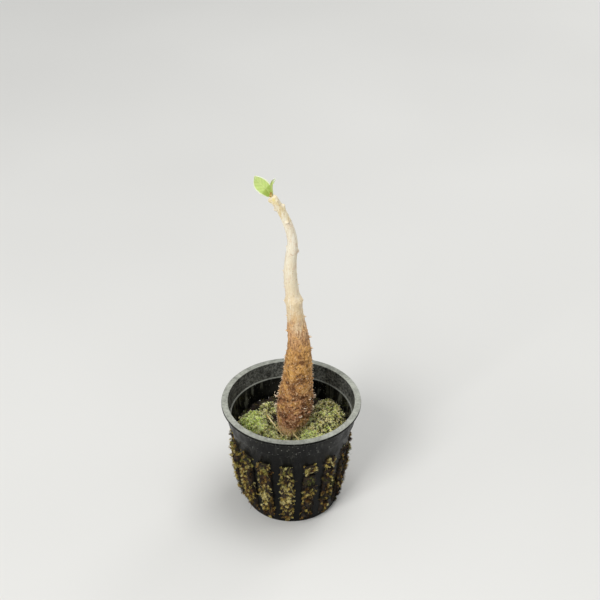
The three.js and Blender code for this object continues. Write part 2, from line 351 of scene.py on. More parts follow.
def in_slot(face):
    """True for a wall or base face that lies in an opening."""
    point = face.calc_center_median() / MM
    if abs(from_slot(point)) > slot_half:
        return False
    on_wall = SLOT_FOOT < point.z < BAR_LOW or BAR_HIGH < point.z < SLOT_TOP
    on_base = point.z < FLOOR_TOP + 0.05 and BASE_SLOT_IN < point.xy.length < BASE_SLOT_OUT
    return on_wall or on_base


def opening_of(edge):
    """Which slot and which row of slots an open edge belongs to."""
    point = (edge.verts[0].co + edge.verts[1].co) / 2 / MM
    slot = round((bearing_of(point) - FIRST_SLOT) / pitch) % SLOTS
    return slot, 0 if point.z < FLOOR_TOP + 0.1 else 1 if point.z < BAR_LOW + 1 else 2


bpy.ops.mesh.select_all(action="SELECT")
bpy.ops.mesh.fill_holes(sides=0)
choose(pot.data, "faces", in_slot)
bpy.ops.mesh.delete(type="FACE")
for slot in range(SLOTS):
    for row in range(3):
        choose(pot.data, "edges", lambda edge: edge.is_boundary and opening_of(edge) == (slot, row))
        bpy.ops.mesh.bridge_edge_loops()
bpy.ops.mesh.select_all(action="SELECT")
bpy.ops.mesh.normals_make_consistent(inside=False)
bpy.ops.mesh.select_all(action="DESELECT")
bpy.ops.mesh.edges_select_sharp(sharpness=SHARP)
bpy.ops.mesh.bevel(offset=EDGE_BEVEL, segments=2)
bpy.ops.object.mode_set(mode="OBJECT")
bpy.ops.object.shade_smooth_by_angle(angle=SMOOTH)
print("the pot has", faces_of(pot), "triangles")

# %% [markdown]
# ## Finish of the pot
#
# Black moulded polypropylene is never quite black. It is a soft gloss that wear and dried water
# turn grey: hard-water specks on the band, faint upright scratches, runs on the inner wall, and a
# chalky film on every surface that faces up, most of all on the rim. That pale film is partly dust
# and partly a painted sheen of the light from above, and it is painted fuller at the left and right
# of the rim than at the front and back. Each of these marks is a mask from 0 to 1, and its colour is
# painted over what is below it. A mask is often a product of simpler ones, such as "inside",
# "high up" and "where the noise is bright".

# %% Masks and layers of paint
def mask(tree, *parts):
    """The product of its parts. A part is a mask, or a value and the stretch that becomes 0 to 1.

    Two more numbers after the stretch are the least and the most that it becomes.
    """
    total = None
    for part in parts:
        if isinstance(part, tuple):
            part = add_node(tree, "MapRange", dict(enumerate(part)))
        if total is not None:
            part = add_node(tree, "Math", {0: total, 1: part}, operation="MULTIPLY")
        total = part
    return total


def paint(tree, under, colour, *parts):
    """Lays a colour over another through a mask."""
    inputs = {0: mask(tree, *parts), 6: under, 7: srgb(colour)}
    return add_node(tree, "Mix", inputs, data_type="RGBA").outputs[2]


def drawn_out(tree, place, sizes, detail):
    """A noise whose grains have their own size in millimetres along each axis."""
    scale = [grains(size) for size in sizes]
    stretched = add_node(tree, "Mapping", {"Vector": place, "Scale": scale})
    return add_node(tree, "TexNoise", {"Vector": stretched, "Scale": 1, "Detail": detail})


# %% Patterns in the plastic
pot_finish, tree, shader, place = new_material("black moulded polypropylene", {
    "IOR": 1.49, "Specular IOR Level": 0.09,
})
axes = add_node(tree, "SeparateXYZ", {0: place})
depth, height = axes.outputs["Y"], axes.outputs["Z"]
facing = add_node(tree, "NewGeometry").outputs["Normal"]
upward = add_node(tree, "SeparateXYZ", {0: facing}).outputs["Z"]
outward = add_node(tree, "VectorMath", {0: facing, 1: place}, operation="DOT_PRODUCT")
cloud, chalk, cluster, stain = [
    add_node(tree, "TexNoise", {"Vector": place, "Scale": grains(size), "Detail": detail})
    for size, detail in ((5.26, 6), (1.11, 4), (13.3, 3), (18.2, 4))
]
scratch = drawn_out(tree, place, (1.11, 1.11, 14.3), 3)
run = drawn_out(tree, place, (2.38, 2.38, 38.5), 2)
cells = add_node(tree, "TexVoronoi", {"Vector": place, "Scale": grains(0.952)})
kept = add_node(tree, "SeparateColor", {0: cells.outputs["Color"]})
print("the plastic has clouds of 5 mm, chalk of 1 mm and specks 1 mm apart")

# %% Where the marks lie
inside = mask(tree, (outward.outputs["Value"], 0, -4 * MM))
high_up = mask(tree, (height, 50 * MM, 56 * MM))
inner_wall = mask(tree, (height, 44 * MM, 48 * MM), inside)
upper = add_node(tree, "Math", {0: high_up, 1: inner_wall}, operation="MAXIMUM")
below_ledge = mask(tree, inside, (height, 58 * MM, 54 * MM), (height, 43 * MM, 47 * MM))
above_ledge = mask(tree, inside, (height, 55.2 * MM, 56 * MM))
speck = mask(tree, upper, (cells, 0.36, 0.12), (kept, 0.7, 0.86),
             (cluster, 0.42, 0.58, 0.2, 1))
# Paler film on surfaces that face up: partly dust, partly a painted sheen of the light from above.
dust_and_sheen = mask(tree, (upward, 0.3, 0.95), (chalk, 0.35, 0.6, 0.68, 1), (cloud, 0.35, 0.6, 0.75, 1))
# Painted sheen: the film is fuller at the left and right of the rim than at the front and back.
sheen_at_sides = mask(tree, (depth, -38 * MM, -29 * MM, 0.62, 1), (depth, 38 * MM, 18 * MM, 0.74, 1))
dust_and_sheen = mask(tree, dust_and_sheen, sheen_at_sides, (height, 58 * MM, 62 * MM, 0.55, 1))
print("masks for the upper pot, the wall below and above the ledge, specks and film")

# %% Colours of the plastic
tone = add_node(tree, "ValToRGB", {"Fac": cloud}, [(0.35, "050505"), (0.7, "0f0f0d")])
tone = paint(tree, tone, "2e2e29", upper, (stain, 0.48, 0.62, 0, 0.6))
tone = paint(tree, tone, "4c4c46", (scratch, 0.57, 0.76), (height, 40 * MM, 56 * MM, 0.1, 0.5))
tone = paint(tree, tone, "5a5b50", below_ledge, (run, 0.56, 0.68), (cloud, 0.3, 0.6, 0.3, 0.9))
tone = paint(tree, tone, "75766f", above_ledge, (chalk, 0.35, 0.65, 0.15, 0.9), (cloud, 0.35, 0.6, 0.4, 1))
# The pale film, partly dust and partly painted sheen.
tone = paint(tree, tone, "b3b5aa", dust_and_sheen)
tone = paint(tree, tone, "8d8e86", speck)
worn = mask(tree, (cloud, 0.35, 0.65, 0.22, 0.45))
grain = add_node(tree, "Bump", {"Height": chalk, "Strength": 0.3, "Distance": 0.12 * MM})
plug_in(tree, shader, {"Base Color": tone, "Roughness": worn, "Normal": grain})
wear(pot, pot_finish)
take_place(pot, "pot_plastic", "net_pot")

# %% [markdown]
# ## Tools for plant parts
#
# Moss is hundreds of small shoots, and a stem has dozens of spines. One shoot or spine is modelled
# and then copied to many spots in one mesh. Two facts are kept for the material on each copy: its
# own random tint, and its rise, which is how far a point lies from the root. A leaf that spreads
# flat has no height, so a shape built from leaves also counts the rise along each leaf.

# %% Casting and roughening
def cast_from(node, name):
    """A free copy of a plain solid, with its loose triangles merged."""
    piece = bpy.data.objects.new(name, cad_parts[node].data.copy())
    bpy.context.scene.collection.objects.link(piece)
    only(piece)
    bpy.ops.object.mode_set(mode="EDIT")
    bpy.ops.mesh.select_all(action="SELECT")
    bpy.ops.mesh.remove_doubles(threshold=0.005 * MM)
    bpy.ops.mesh.normals_make_consistent(inside=False)
    bpy.ops.object.mode_set(mode="OBJECT")
    return piece


def roughen(piece, grain, depth, group="", kind="CLOUDS"):
    """Pushes a surface in and out by a pattern, with its grain and depth in millimetres."""
    pattern = bpy.data.textures.new(piece.name + " relief", kind)
    pattern.noise_scale = grain * MM
    if kind == "CLOUDS":
        pattern.noise_depth = 2
    finish_modifier(piece, "DISPLACE", texture=pattern, texture_coords="LOCAL",
                    strength=depth * MM, mid_level=0.5, vertex_group=group)


# %% [markdown]
# The spots come from a scatter over the surface that carries them. It picks triangles by their area
# and keeps a spot only if it lies a least distance from all others, so that they don't pile up.

# %% Scattering and planting
ANY_TURN = (0, 6.28)


def scatter(piece, count, apart, accepts, chance):
    """Random spots on a mesh, at least so many millimetres apart, each with its normal."""
    mesh = piece.data
    mesh.calc_loop_triangles()
    usable, sizes = [], []
    for triangle in mesh.loop_triangles:
        corners = [mesh.vertices[i].co for i in triangle.vertices]
        centre = sum(corners, Vector()) / 3
        if accepts(centre / MM, triangle.normal):
            usable.append((corners, triangle.normal.copy()))
            sizes.append(triangle.area)
    taken, spots = {}, []
    for corners, normal in chance.choices(usable, weights=sizes, k=count * 5):
        a, b = sorted((chance.random(), chance.random()))
        point = corners[0] * a + corners[1] * (b - a) + corners[2] * (1 - b)
        cell = [int(c // (apart * MM)) for c in point]
        near = [taken.get((cell[0] + i, cell[1] + j, cell[2] + k), [])
                for i in (-1, 0, 1) for j in (-1, 0, 1) for k in (-1, 0, 1)]
        if all((point - other).length > apart * MM for group in near for other in group):
            taken.setdefault(tuple(cell), []).append(point)
            spots.append((point, normal))
        if len(spots) == count:
            break
    return spots


def towards(bearing):
    """The flat direction at a bearing round the pot, from the front."""
    return Vector((math.sin(bearing), -math.cos(bearing), 0))


def spot(place, direction, turn, scale, tint):
    """Where one copy stands, which way it grows, its size and its tint."""
    axes = Vector((0, 0, 1)).rotation_difference(direction).to_matrix() @ Matrix.Rotation(turn, 3, "Z")
    return {"place": np.array(place), "axes": np.array(axes) * scale, "tint": tint}


def plant(name, template, spots):
    """Copies a small modelled shape to many spots as one mesh."""
    corners = np.array([vertex.co[:] for vertex in template.data.vertices])
    faces = [list(polygon.vertices) for polygon in template.data.polygons]
    rise = np.clip(corners[:, 2] / corners[:, 2].max(), 0, 1)
    leaf_rise = template.data.attributes.get("rise")
    if leaf_rise:
        rise = 0.3 * rise + 0.7 * np.array([point.value for point in leaf_rise.data])
    placed = np.concatenate([corners @ s["axes"].T + s["place"] for s in spots])
    copied = [[i + n * len(corners) for i in face] for n in range(len(spots)) for face in faces]
    mesh = bpy.data.meshes.new(name)
    mesh.from_pydata(placed.tolist(), [], copied)
    for label, values in (("rise", np.tile(rise, len(spots))),
                          ("tint", np.repeat([s["tint"] for s in spots], len(corners)))):
        mesh.attributes.new(label, "FLOAT", "POINT").data.foreach_set("value", values.astype(np.float32))
    piece = bpy.data.objects.new(name, mesh)
    bpy.context.scene.collection.objects.link(piece)
    return piece


def join(first, *others):
    """Joins pieces into the first one."""
    only(first)
    for piece in others:
        piece.select_set(True)
    bpy.ops.object.join()
    return first


def discard(piece):
    """Removes a shape that was only a pattern for copies."""
    bpy.data.objects.remove(piece)


# %% [markdown]
# ## The stem
#
# The stem is a caudex, a swollen storage stem. It starts on a narrow foot in the moss, swells to a
# bottle shape and tapers into a thin neck that leans left at the top. It is pulled ring by ring
# through measured widths and smoothed by subdivision. A voxel remesh then gives it small even
# faces, because the rings alone are too far apart to carry the grain of the bark.

# %% Pull the stem
STATIONS = [
    # height, sideways middle and width in millimetres
    (42, -1.3, 8.6), (47, -0.8, 12.4), (52, 1.0, 16.7), (58, 1.8, 19.1), (66, 2.2, 19.2),
    (72, 2.6, 17.8), (78, 3.2, 16.3), (84, 3.6, 15.2), (90, 3.9, 14.3), (98, 4.2, 12.6),
    (103, 4.1, 11.3), (109, 3.5, 10.9), (114, 2.9, 9.9), (118, 2.5, 9.2), (121.5, 2.1, 8.5),
    (125.5, 1.8, 8.4), (128.3, 1.6, 9.3), (130.4, 1.5, 9.2), (132.2, 1.05, 7.4), (135, 0.6, 7.0),
    (140, 0.1, 7.1), (146, -0.3, 6.8), (152, -0.1, 6.3), (157, 0.4, 5.9), (160, 0.9, 5.9),
    (163, 1.1, 5.2), (168, 0.6, 5.1), (173, -0.8, 5.1), (178, -2.6, 4.9), (182, -4.5, 4.9),
    (185.5, -6.6, 5.0), (188.2, -7.8, 4.4),
]
heights, middles, widths = zip(*STATIONS)
FOOT_RADIUS, FOOT_HEIGHT, FOOT_MIDDLE = 3.2, 39.6, -1.4
ROUNDED_END = ((1.9, 189.5, -8.1), (1.3, 190.2, -8.2), (0.6, 190.5, -8.3))


def stem_at(height):
    """Sideways place of the stem's middle and its half width at a height, in millimetres."""
    return np.interp(height, heights, middles), np.interp(height, heights, widths) / 2


ring = start_ring("caudex", 20, FOOT_RADIUS, FOOT_HEIGHT, middle=(FOOT_MIDDLE, 0))
stem = ring["piece"]
for height, middle, width in STATIONS:
    pull_ring(ring, width / 2, height, (middle, 0))
for radius, height, middle in ROUNDED_END:
    pull_ring(ring, radius, height, (middle, 0))
close_ends(stem.data)
bpy.ops.object.mode_set(mode="OBJECT")
finish_modifier(stem, "SUBSURF", levels=2, render_levels=2)
print("the stem is", round(max(widths), 1), "mm wide at its widest")

# %% [markdown]
# Near the tip, old leaves have left scars. Each is a knob that stands out from the bark, and one is
# a short ridge across the front. The stem ends in two lobes, a small one at the left and a larger
# one at the right, and the leaves come up between them. A joint lower down has a knob on each side.
# One knob is modelled and copied, and the voxel remesh melts the copies into the stem.

# %% Leaf scars and the lobes of the tip
def tapered(name, corners, rings):
    """A closed shape from rings that each have a radius, a height and a sideways lean."""
    radius, height, lean = rings[0]
    state = start_ring(name, corners, radius, height, middle=(lean, 0))
    for radius, height, lean in rings[1:]:
        pull_ring(state, radius, height, (lean, 0))
    close_ends(state["piece"].data)
    bpy.ops.object.mode_set(mode="OBJECT")
    bpy.ops.object.shade_smooth()
    return state["piece"]


knob = tapered("knob", 12, [
    (0.3, -1.35, 0), (0.7, -1.0, 0), (0.92, -0.4, 0), (0.96, 0.2, 0), (0.82, 0.75, 0),
    (0.52, 1.15, 0), (0.2, 1.32, 0),
])
KNOBS = [
    # place, the way it points, and size
    ((-9.75, -0.3, 187.6), (-0.3, 0, 1), 1.1), ((-7.2, -0.4, 188.9), (-0.6, 0, 1), 1.4),
    ((-8.2, 0.8, 188.6), (-0.4, 0, 1), 1.3), ((-6.6, -1.0, 187.4), (-0.4, 0, 1), 1.3),
    ((-3.6, 0.0, 184.1), (0.4, 0, 1), 1.1), ((-3.3, -0.2, 182.9), (-0.3, 0, 1), 1.1),
    ((-4.6, -1.3, 183.4), (1, 0, 0.5), 0.8), ((-7.15, -0.3, 182.5), (-1, 0, 0.2), 0.85),
    ((-6.6, -0.9, 184.2), (-0.4, 0, 1), 0.85), ((-1.7, -2.3, 176.3), (1, 0, 0.1), 0.8),
    ((-0.9, 1.8, 171), (1, 0, 0.2), 0.85), ((-4.0, 1.8, 180), (1, 0.2, 0.5), 0.9),
    ((3.4, 0.0, 158.7), (0.1, 0, 1), 0.95), ((-1.6, -0.3, 160.6), (-0.2, 0, 1), 0.75),
    ((0.8, -2.3, 158.6), (1, 0, 0), 0.8), ((0.6, 2.3, 158.2), (1, 0, 0), 0.8),
    ((-3.2, -0.2, 146.6), (-1, 0, 0.5), 0.6), ((5.4, -0.2, 129.2), (0.1, 0, 1), 1.15),
    ((-2.3, -0.3, 129.0), (-0.1, 0, 1), 1.15), ((1.7, -3.7, 129.2), (1, 0, 0.1), 1.1),
    ((1.7, 3.7, 129.2), (1, 0, 0.1), 1.1),
]
knobs = plant("knobs", knob, [
    spot(Vector(place) * MM, Vector(direction).normalized(), 0, size, 0.0)
    for place, direction, size in KNOBS
])
discard(knob)
join(stem, knobs)
finish_modifier(stem, "REMESH", mode="VOXEL", voxel_size=0.34 * MM)
finish_modifier(stem, "SMOOTH", factor=0.5, iterations=2)
print(len(KNOBS), "knobs, and the bare stem has", faces_of(stem), "triangles")

# %% [markdown]
# The relief has four grains: slow swellings, knobs about as wide as a spine's foot, pebbles a
# millimetre across, and a fine crust. All are strong on the old bark and fade out up the neck, so a
# vertex group holds how rough the bark is at each height. How far each point was raised or sunk is
# kept in an attribute, and the colour of the bark is paler on the pebbles and darker in the pits by it.

# %% Relief of the bark
def points_of(piece, what="co"):
    """The places or the normals of a mesh's points, as rows of three numbers."""
    flat = np.empty(len(piece.data.vertices) * 3, np.float32)
    piece.data.vertices.foreach_get(what, flat)
    return flat.reshape(-1, 3)


def give_attribute(piece, label, values):
    """Stores one number for each point of a mesh."""
    layer = piece.data.attributes.new(label, "FLOAT", "POINT")
    layer.data.foreach_set("value", np.broadcast_to(values, len(piece.data.vertices)).astype(np.float32))


rough_bark = stem.vertex_groups.new(name="rough_bark")
for vertex in stem.data.vertices:
    rough = np.interp(vertex.co.z / MM, (44, 70, 100, 122, 150), (1, 1, 0.75, 0.3, 0.12))
    rough_bark.add([vertex.index], float(rough), "REPLACE")
roughen(stem, 6, 1.2, "rough_bark")
smooth_points, smooth_normals = points_of(stem), points_of(stem, "normal")
roughen(stem, 1.7, 0.8, "rough_bark")
roughen(stem, 1.0, -0.6, "rough_bark", "VORONOI")
roughen(stem, 0.7, 0.5, "rough_bark")
raised = ((points_of(stem) - smooth_points) * smooth_normals).sum(axis=1) / MM
give_attribute(stem, "raised", raised - np.median(raised))
print("pits and pebbles from", round(float(raised.min()), 2), "to", round(float(raised.max()), 2), "mm")

# %% [markdown]
# The spines are stubby rootlets that grow out of the bark. Each has a wide foot and a blunt, paler
# tip that leans a little. Those in the first list stand where the photograph shows them against
# the dark, on the left and right outlines. The rest follow the stem all round, because the real
# ones do. Near the foot a few have grown into curls, and fine fuzz covers the old bark.

# %% Model a spine, a curl and a rootlet
spine = tapered("spine", 7, [
    (0.95, -0.5, 0), (0.76, 0.08, 0), (0.54, 0.4, 0.02), (0.42, 0.75, 0.07), (0.3, 1.05, 0.15),
    (0.13, 1.25, 0.22),
])
curl = tapered("curl", 7, [
    (0.6, -0.5, 0), (0.46, 0.3, 0), (0.36, 0.9, 0.1), (0.34, 1.4, 0.45), (0.33, 1.6, 0.95),
    (0.26, 1.5, 1.4), (0.12, 1.25, 1.75),
])
rootlet = tapered("rootlet", 4, [(0.14, -0.3, 0), (0.11, 0.35, 0.05), (0.1, 0.7, 0.2), (0.03, 1.0, 0.45)])
print("a spine has", faces_of(spine), "triangles and a rootlet", faces_of(rootlet))

# %% Plant the spines
LEFT, RIGHT, FRONT, BACK = -math.pi / 2, math.pi / 2, 0.0, math.pi
OUTLINE_SPINES = [
    # height, bearing and size
    (161.4, LEFT, 0.6), (147.2, LEFT, 0.6), (137, LEFT, 0.55), (129, LEFT, 0.7), (119.7, LEFT, 0.6),
    (110.3, LEFT, 0.95), (97.2, LEFT, 0.7), (94, LEFT, 1.0), (91.8, LEFT, 0.8), (80, LEFT, 0.6),
    (73.5, LEFT, 0.9), (138.6, RIGHT, 0.6), (118.9, RIGHT, 0.95), (106.2, RIGHT, 1.3),
    (98.8, RIGHT, 1.05), (89, RIGHT, 0.7), (82, RIGHT, 0.7),
]
CURLS = [
    # height, bearing, size and turn
    (67.0, LEFT, 1.35, 0.4), (65.2, LEFT - 0.2, 1.0, 2.4), (63.4, LEFT + 0.2, 1.25, 4.4),
    (61.8, LEFT, 0.8, 1.5), (70.5, LEFT + 0.15, 0.8, 3.0), (67.6, RIGHT, 1.0, 1.2),
    (65.3, RIGHT + 0.1, 1.15, 3.6), (62.5, RIGHT - 0.3, 0.9, 5.2), (69.5, RIGHT - 0.7, 0.9, 2.2),
    (60.6, FRONT + 0.37, 1.2, math.pi), (65.5, FRONT + 0.5, 0.7, 0.5), (75, BACK + 0.5, 0.9, 1.0),
    (70, BACK - 0.6, 0.9, 2.0),
]
SPINE_COUNT, ROOTLET_COUNT = 210, 1100


def on_stem(height, bearing, size, turn, sunk=0.15, tint=0.9):
    """The spot of a spine rooted in the bark at a height and bearing."""
    middle, radius = stem_at(height)
    outward = towards(bearing)
    place = Vector((middle, 0, height)) + outward * (radius - sunk)
    return spot(place * MM, (outward + Vector((0, 0, 0.12))).normalized(), turn, size, tint)


chance = random.Random(11)
spots = [on_stem(*entry, chance.uniform(*ANY_TURN)) for entry in OUTLINE_SPINES]
for _ in range(SPINE_COUNT):
    height = 47 + 120 * chance.random() ** 1.6
    size = float(np.interp(height, (50, 100, 165), (0.85, 0.7, 0.36))) * chance.uniform(0.55, 1.15)
    tint = 0.55 * chance.random() ** 2
    bearing = chance.uniform(-math.pi, math.pi)
    spots.append(on_stem(height, bearing, size, chance.uniform(*ANY_TURN), 0.3, tint))
fuzz = []
for _ in range(ROOTLET_COUNT):
    height = 45 + 48 * chance.random() ** 1.3
    fuzz.append(on_stem(height, chance.uniform(-math.pi, math.pi), chance.uniform(0.5, 1.1),
                        chance.uniform(*ANY_TURN), 0.1, chance.uniform(0.3, 0.85)))
spines = plant("spines", spine, spots)
curls = plant("curls", curl, [on_stem(*entry, tint=1.0) for entry in CURLS])
rootlets = plant("rootlets", rootlet, fuzz)
for pattern in (spine, curl, rootlet):
    discard(pattern)
give_attribute(stem, "rise", 0.0)
give_attribute(stem, "tint", 0.0)
join(stem, spines, curls, rootlets)
bpy.ops.object.shade_smooth()
print(len(spots), "spines,", len(CURLS), "curls and", len(fuzz), "rootlets")

# %% [markdown]
# ## Finish of the bark
#
# Young bark is smooth, matt and cream. With age it cracks into fine upright fibres and turns tan,
# then a rough golden brown, and red brown near the foot. So the base colour is a ramp along the
# height, shifted by a cloudy pattern to break up its edges. The other patterns are clouds of three
# sizes, grit as fine as sand, and two noises that are drawn out along the stem.

# %% Patterns in the bark
bark, tree, shader, place = new_material("young caudex bark", {
    "Roughness": 0.65, "Specular IOR Level": 0.35,
})
height = add_node(tree, "SeparateXYZ", {0: place}).outputs["Z"]
patches, broad, blush, fleck, grit = [
    add_node(tree, "TexNoise", {"Vector": place, "Scale": grains(size), "Detail": detail})
    for size, detail in ((6.67, 4), (4.76, 3), (3.33, 3), (1.18, 2), (0.909, 3))
]
fibre = drawn_out(tree, place, (0.769, 0.769, 3.85), 4)
streak = drawn_out(tree, place, (0.667, 0.667, 5.88), 3)
raised, rise, tint = [
    add_node(tree, "Attribute", attribute_name=label).outputs["Fac"]
    for label in ("raised", "rise", "tint")
]
print("the bark has patches of 7 mm, fibres 1 mm wide and grit of 1 mm")

# %% [markdown]
# On the old bark, golden and dark patches, fibres, pale pebbles and dark pits are painted over the
# ramp. Just below the neck the fibres turn tan, and the foot frays into pale threads. The smooth
# neck has small brown flecks, pale upright streaks and a faint blush instead, and its end under the
# leaves is yellow. Spines are paler at the tip.

# %% Colours of the bark
BARK_AGES = [
    (0.0, "e6c99c"), (0.04, "d8b080"), (0.09, "b07a55"), (0.15, "b27b53"), (0.24, "bb874f"),
    (0.32, "c28f4a"), (0.41, "c49152"), (0.47, "d6a877"), (0.52, "e3c69b"), (0.57, "ead4ac"),
    (0.68, "efe2c4"), (0.82, "f0e6ce"), (0.93, "f0e6cd"), (0.965, "e6d3a0"), (1.0, "ecdfc0"),
]
YELLOW_BUD = Vector((-8.2, -2.2, 189)) * MM
shift = mask(tree, (patches, 0.3, 0.7, -6 * MM, 6 * MM))
broken = add_node(tree, "Math", {0: height, 1: shift}, operation="ADD")
along = mask(tree, (broken, 40 * MM, 190 * MM))
tone = add_node(tree, "ValToRGB", {"Fac": along}, BARK_AGES)

old = mask(tree, (height, 128 * MM, 104 * MM, 0.06, 1))
tone = paint(tree, tone, "dba75c", (broad, 0.52, 0.64, 0, 0.85), old)
tone = paint(tree, tone, "6a4120", (broad, 0.47, 0.36, 0, 0.85), (height, 114 * MM, 98 * MM))
tone = paint(tree, tone, "b27d55", (fibre, 0.47, 0.6, 0, 0.75),
             (height, 124 * MM, 112 * MM), (height, 97 * MM, 104 * MM))
tone = paint(tree, tone, "6d4623", (fibre, 0.5, 0.68, 0, 0.6), old)
# Pebbles that were raised are painted paler.
tone = paint(tree, tone, "edc79a", (raised, 0.06, 0.32, 0, 0.9), (grit, 0.35, 0.6, 0.4, 1),
             (height, 118 * MM, 95 * MM))
# Pits that were sunk are painted darker.
tone = paint(tree, tone, "40240f", (raised, -0.04, -0.3, 0, 0.85), old)
tone = paint(tree, tone, "4a2b13", (grit, 0.42, 0.3, 0, 0.55), old)
tone = paint(tree, tone, "ecc597", (height, 51.5 * MM, 46.5 * MM), (fibre, 0.4, 0.56, 0.45, 0.95))

young = mask(tree, (height, 106 * MM, 128 * MM))
tone = paint(tree, tone, "b08a66", (fleck, 0.58, 0.7, 0, 0.4), young)
tone = paint(tree, tone, "c0a984", (streak, 0.55, 0.7, 0, 0.25), young)
tone = paint(tree, tone, "fbf6e8", (streak, 0.47, 0.3, 0, 0.6), young)
tone = paint(tree, tone, "d9b08c", (blush, 0.56, 0.68, 0, 0.35), young)
from_bud = add_node(tree, "VectorMath", {0: place, 1: YELLOW_BUD}, operation="DISTANCE")
tone = paint(tree, tone, "e6d478", (from_bud.outputs["Value"], 1.6 * MM, 0.5 * MM, 0, 0.6))
tone = paint(tree, tone, "e6d3b8", (rise, 0.05, 0.6), (tint, 0, 0.9, 0, 0.95))
relief = add_node(tree, "Math", {0: grit, 1: streak}, operation="ADD")
bump = add_node(tree, "Bump", {"Height": relief, "Strength": 0.6, "Distance": 0.3 * MM})
plug_in(tree, shader, {"Base Color": tone, "Normal": bump})
wear(stem, bark)
take_place(stem, "bark", "stem")

# %% [markdown]
# ## The growing medium
#
# The pot is packed with long-fibred moss that has dried brown, and it bulges out of every slot.
# The plain solid already has the bulges, so a copy of it is remeshed, softened and roughened to
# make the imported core. It only shows as dark shade between the strands that are planted on it.

# %% Packed core
medium = cast_from("growing_medium", "packed_moss")
finish_modifier(medium, "REMESH", mode="VOXEL", voxel_size=0.75 * MM)
finish_modifier(medium, "SMOOTH", factor=0.6, iterations=3)
roughen(medium, 3.2, 2.0)
roughen(medium, 1.1, 0.5)
bpy.ops.object.shade_smooth()
print("the core has", faces_of(medium), "triangles")

# %% [markdown]
# One sprig of this moss is a soft stem wrapped in small pointed scales. A single scale is pulled
# from a plane: wide in the middle, pointed, and curled back at the tip. Whorls of it are then set
# round an axis, each whorl with its own height, lean and size. The green moss on top is made from
# the same scale, only narrower and opened into a star. A bare fibre is what is left of a sprig when
# its scales fall off.

# %% Model a scale, a fibre, and whorls of scales
def leaflet(name, length, width, curl):
    """A pointed scale that stands on the origin, with its tip up and curled towards +Y."""
    place = (0, 0, length / 4 * MM)
    bpy.ops.mesh.primitive_plane_add(size=MM, rotation=(math.pi / 2, 0, 0), location=place)
    piece = bpy.context.object
    piece.name = name
    piece.scale = (width, length / 2, 1)
    bpy.ops.object.transform_apply(location=True, rotation=True, scale=True)
    bpy.ops.object.mode_set(mode="EDIT")
    choose(piece.data, "edges", lambda edge: min(v.co.z for v in edge.verts) > length * 0.4 * MM)
    bpy.ops.mesh.extrude_region_move()
    bpy.ops.transform.translate(value=(0, curl * MM, length / 2 * MM))
    bpy.ops.transform.resize(value=(0.1, 1, 1), center_override=(0, 0, 0))
    choose(piece.data, "verts", lambda vertex: vertex.co.z < length * 0.1 * MM)
    bpy.ops.transform.resize(value=(0.45, 1, 1), center_override=(0, 0, 0))
    bpy.ops.object.mode_set(mode="OBJECT")
    return piece


def whorls(name, scale_shape, rings):
    """Sets copies of a scale round the Z axis. Each ring has a count, height, lean and size."""
    spots = []
    for step, (count, height, lean, size) in enumerate(rings):
        for n in range(count):
            turn = Matrix.Rotation(2 * math.pi * (n / count + 0.19 * step), 3, "Z")
            axes = turn @ Matrix.Rotation(-math.radians(lean), 3, "X")
            place = np.array((0, 0, height * MM))
            spots.append({"place": place, "axes": np.array(axes) * size, "tint": 0})
    return plant(name, scale_shape, spots)


broad_scale = leaflet("broad_scale", 2.0, 0.44, 0.35)
sprig = whorls("sprig", broad_scale, [
    (3, 0.0, 50, 0.8), (3, 0.6, 45, 0.95), (3, 1.2, 42, 1), (3, 1.8, 38, 0.95), (3, 2.4, 28, 0.8),
])
discard(broad_scale)
fibre = tapered("fibre", 4, [
    (0.13, -0.3, 0), (0.14, 0.8, 0.1), (0.12, 1.8, 0.4), (0.13, 2.8, 0.7), (0.1, 3.9, 0.8), (0.04, 5.2, 0.6),
])
print("a sprig has", faces_of(sprig), "triangles and a fibre", faces_of(fibre))

# %% [markdown]
# Sprigs lie along the bulges at all angles, with their tips standing out a little. The tint follows
# a slow noise, so that straw-coloured tufts stand beside dark brown ones, with gaps where the core
# shows. The same noise pushes a sprig out or in, so the tufts that stand out are paler, as a painted
# highlight, and the sunk ones darker, as painted shade, on top of their own colour. Each slot also
# has a tone of its own: the one in front is olive gold, those at the right are darker and redder.
# Single tufts are paler or darker than the rest of their slot.

# %% Where moss shows, and how light it is
WINDOW_FOOT = 38
SLOT_BEARINGS = (-180, -95, -72, -49, -27, -4, 18, 41, 63, 90, 180)
LONG_SLOT_TONES = (0, 0, 0.05, 0, 0, 0.14, -0.42, -0.25, -0.45, -0.15, 0)
WINDOW_TONES = (0.1, 0.1, 0.16, 0.08, 0.08, 0.25, 0.25, -0.05, -0.3, 0, 0.1)
TUFTS = [
    # bearing in degrees, height and reach in millimetres, how much lighter or darker
    (-2, 27, 5.5, 0.3), (-7, 19, 4, 0.3), (-1, 9, 6, 0.05), (-8, 7, 3.5, -0.5), (-5, 35, 2.5, -0.35),
    (18, 31, 4, -0.45), (19, 24, 3.2, 0.55), (18, 14, 4, 0.5), (18, 5, 4, -0.4), (-27, 5, 6, -0.35),
    (-27, 24, 5, 0.2), (-27, 34, 3, -0.2), (-49, 6, 7, -0.45), (-49, 24, 5, 0.1), (41, 40, 4, 0.15),
    (41, 7, 8, -0.35), (63, 8, 9, -0.3), (-72, 8, 8, -0.3),
]


def slot_tone(point):
    """How much lighter or darker the moss is than the rest at a place in a slot."""
    tones = WINDOW_TONES if point.z > WINDOW_FOOT * MM else LONG_SLOT_TONES
    bearing = math.degrees(bearing_of(point))
    tone = float(np.interp(bearing, SLOT_BEARINGS, tones))
    for middle, height, reach, change in TUFTS:
        aside = math.radians(bearing - middle) * wall_radius(height)
        tone += change * math.exp(-(aside ** 2 + (point.z / MM - height) ** 2) / reach ** 2)
    return tone


def patch(point, size, seed):
    """A slow noise from 0 to 1, with patches of a size in millimetres."""
    return 0.5 + 0.5 * noise.noise(point / MM / size + Vector((seed, seed, 0)))


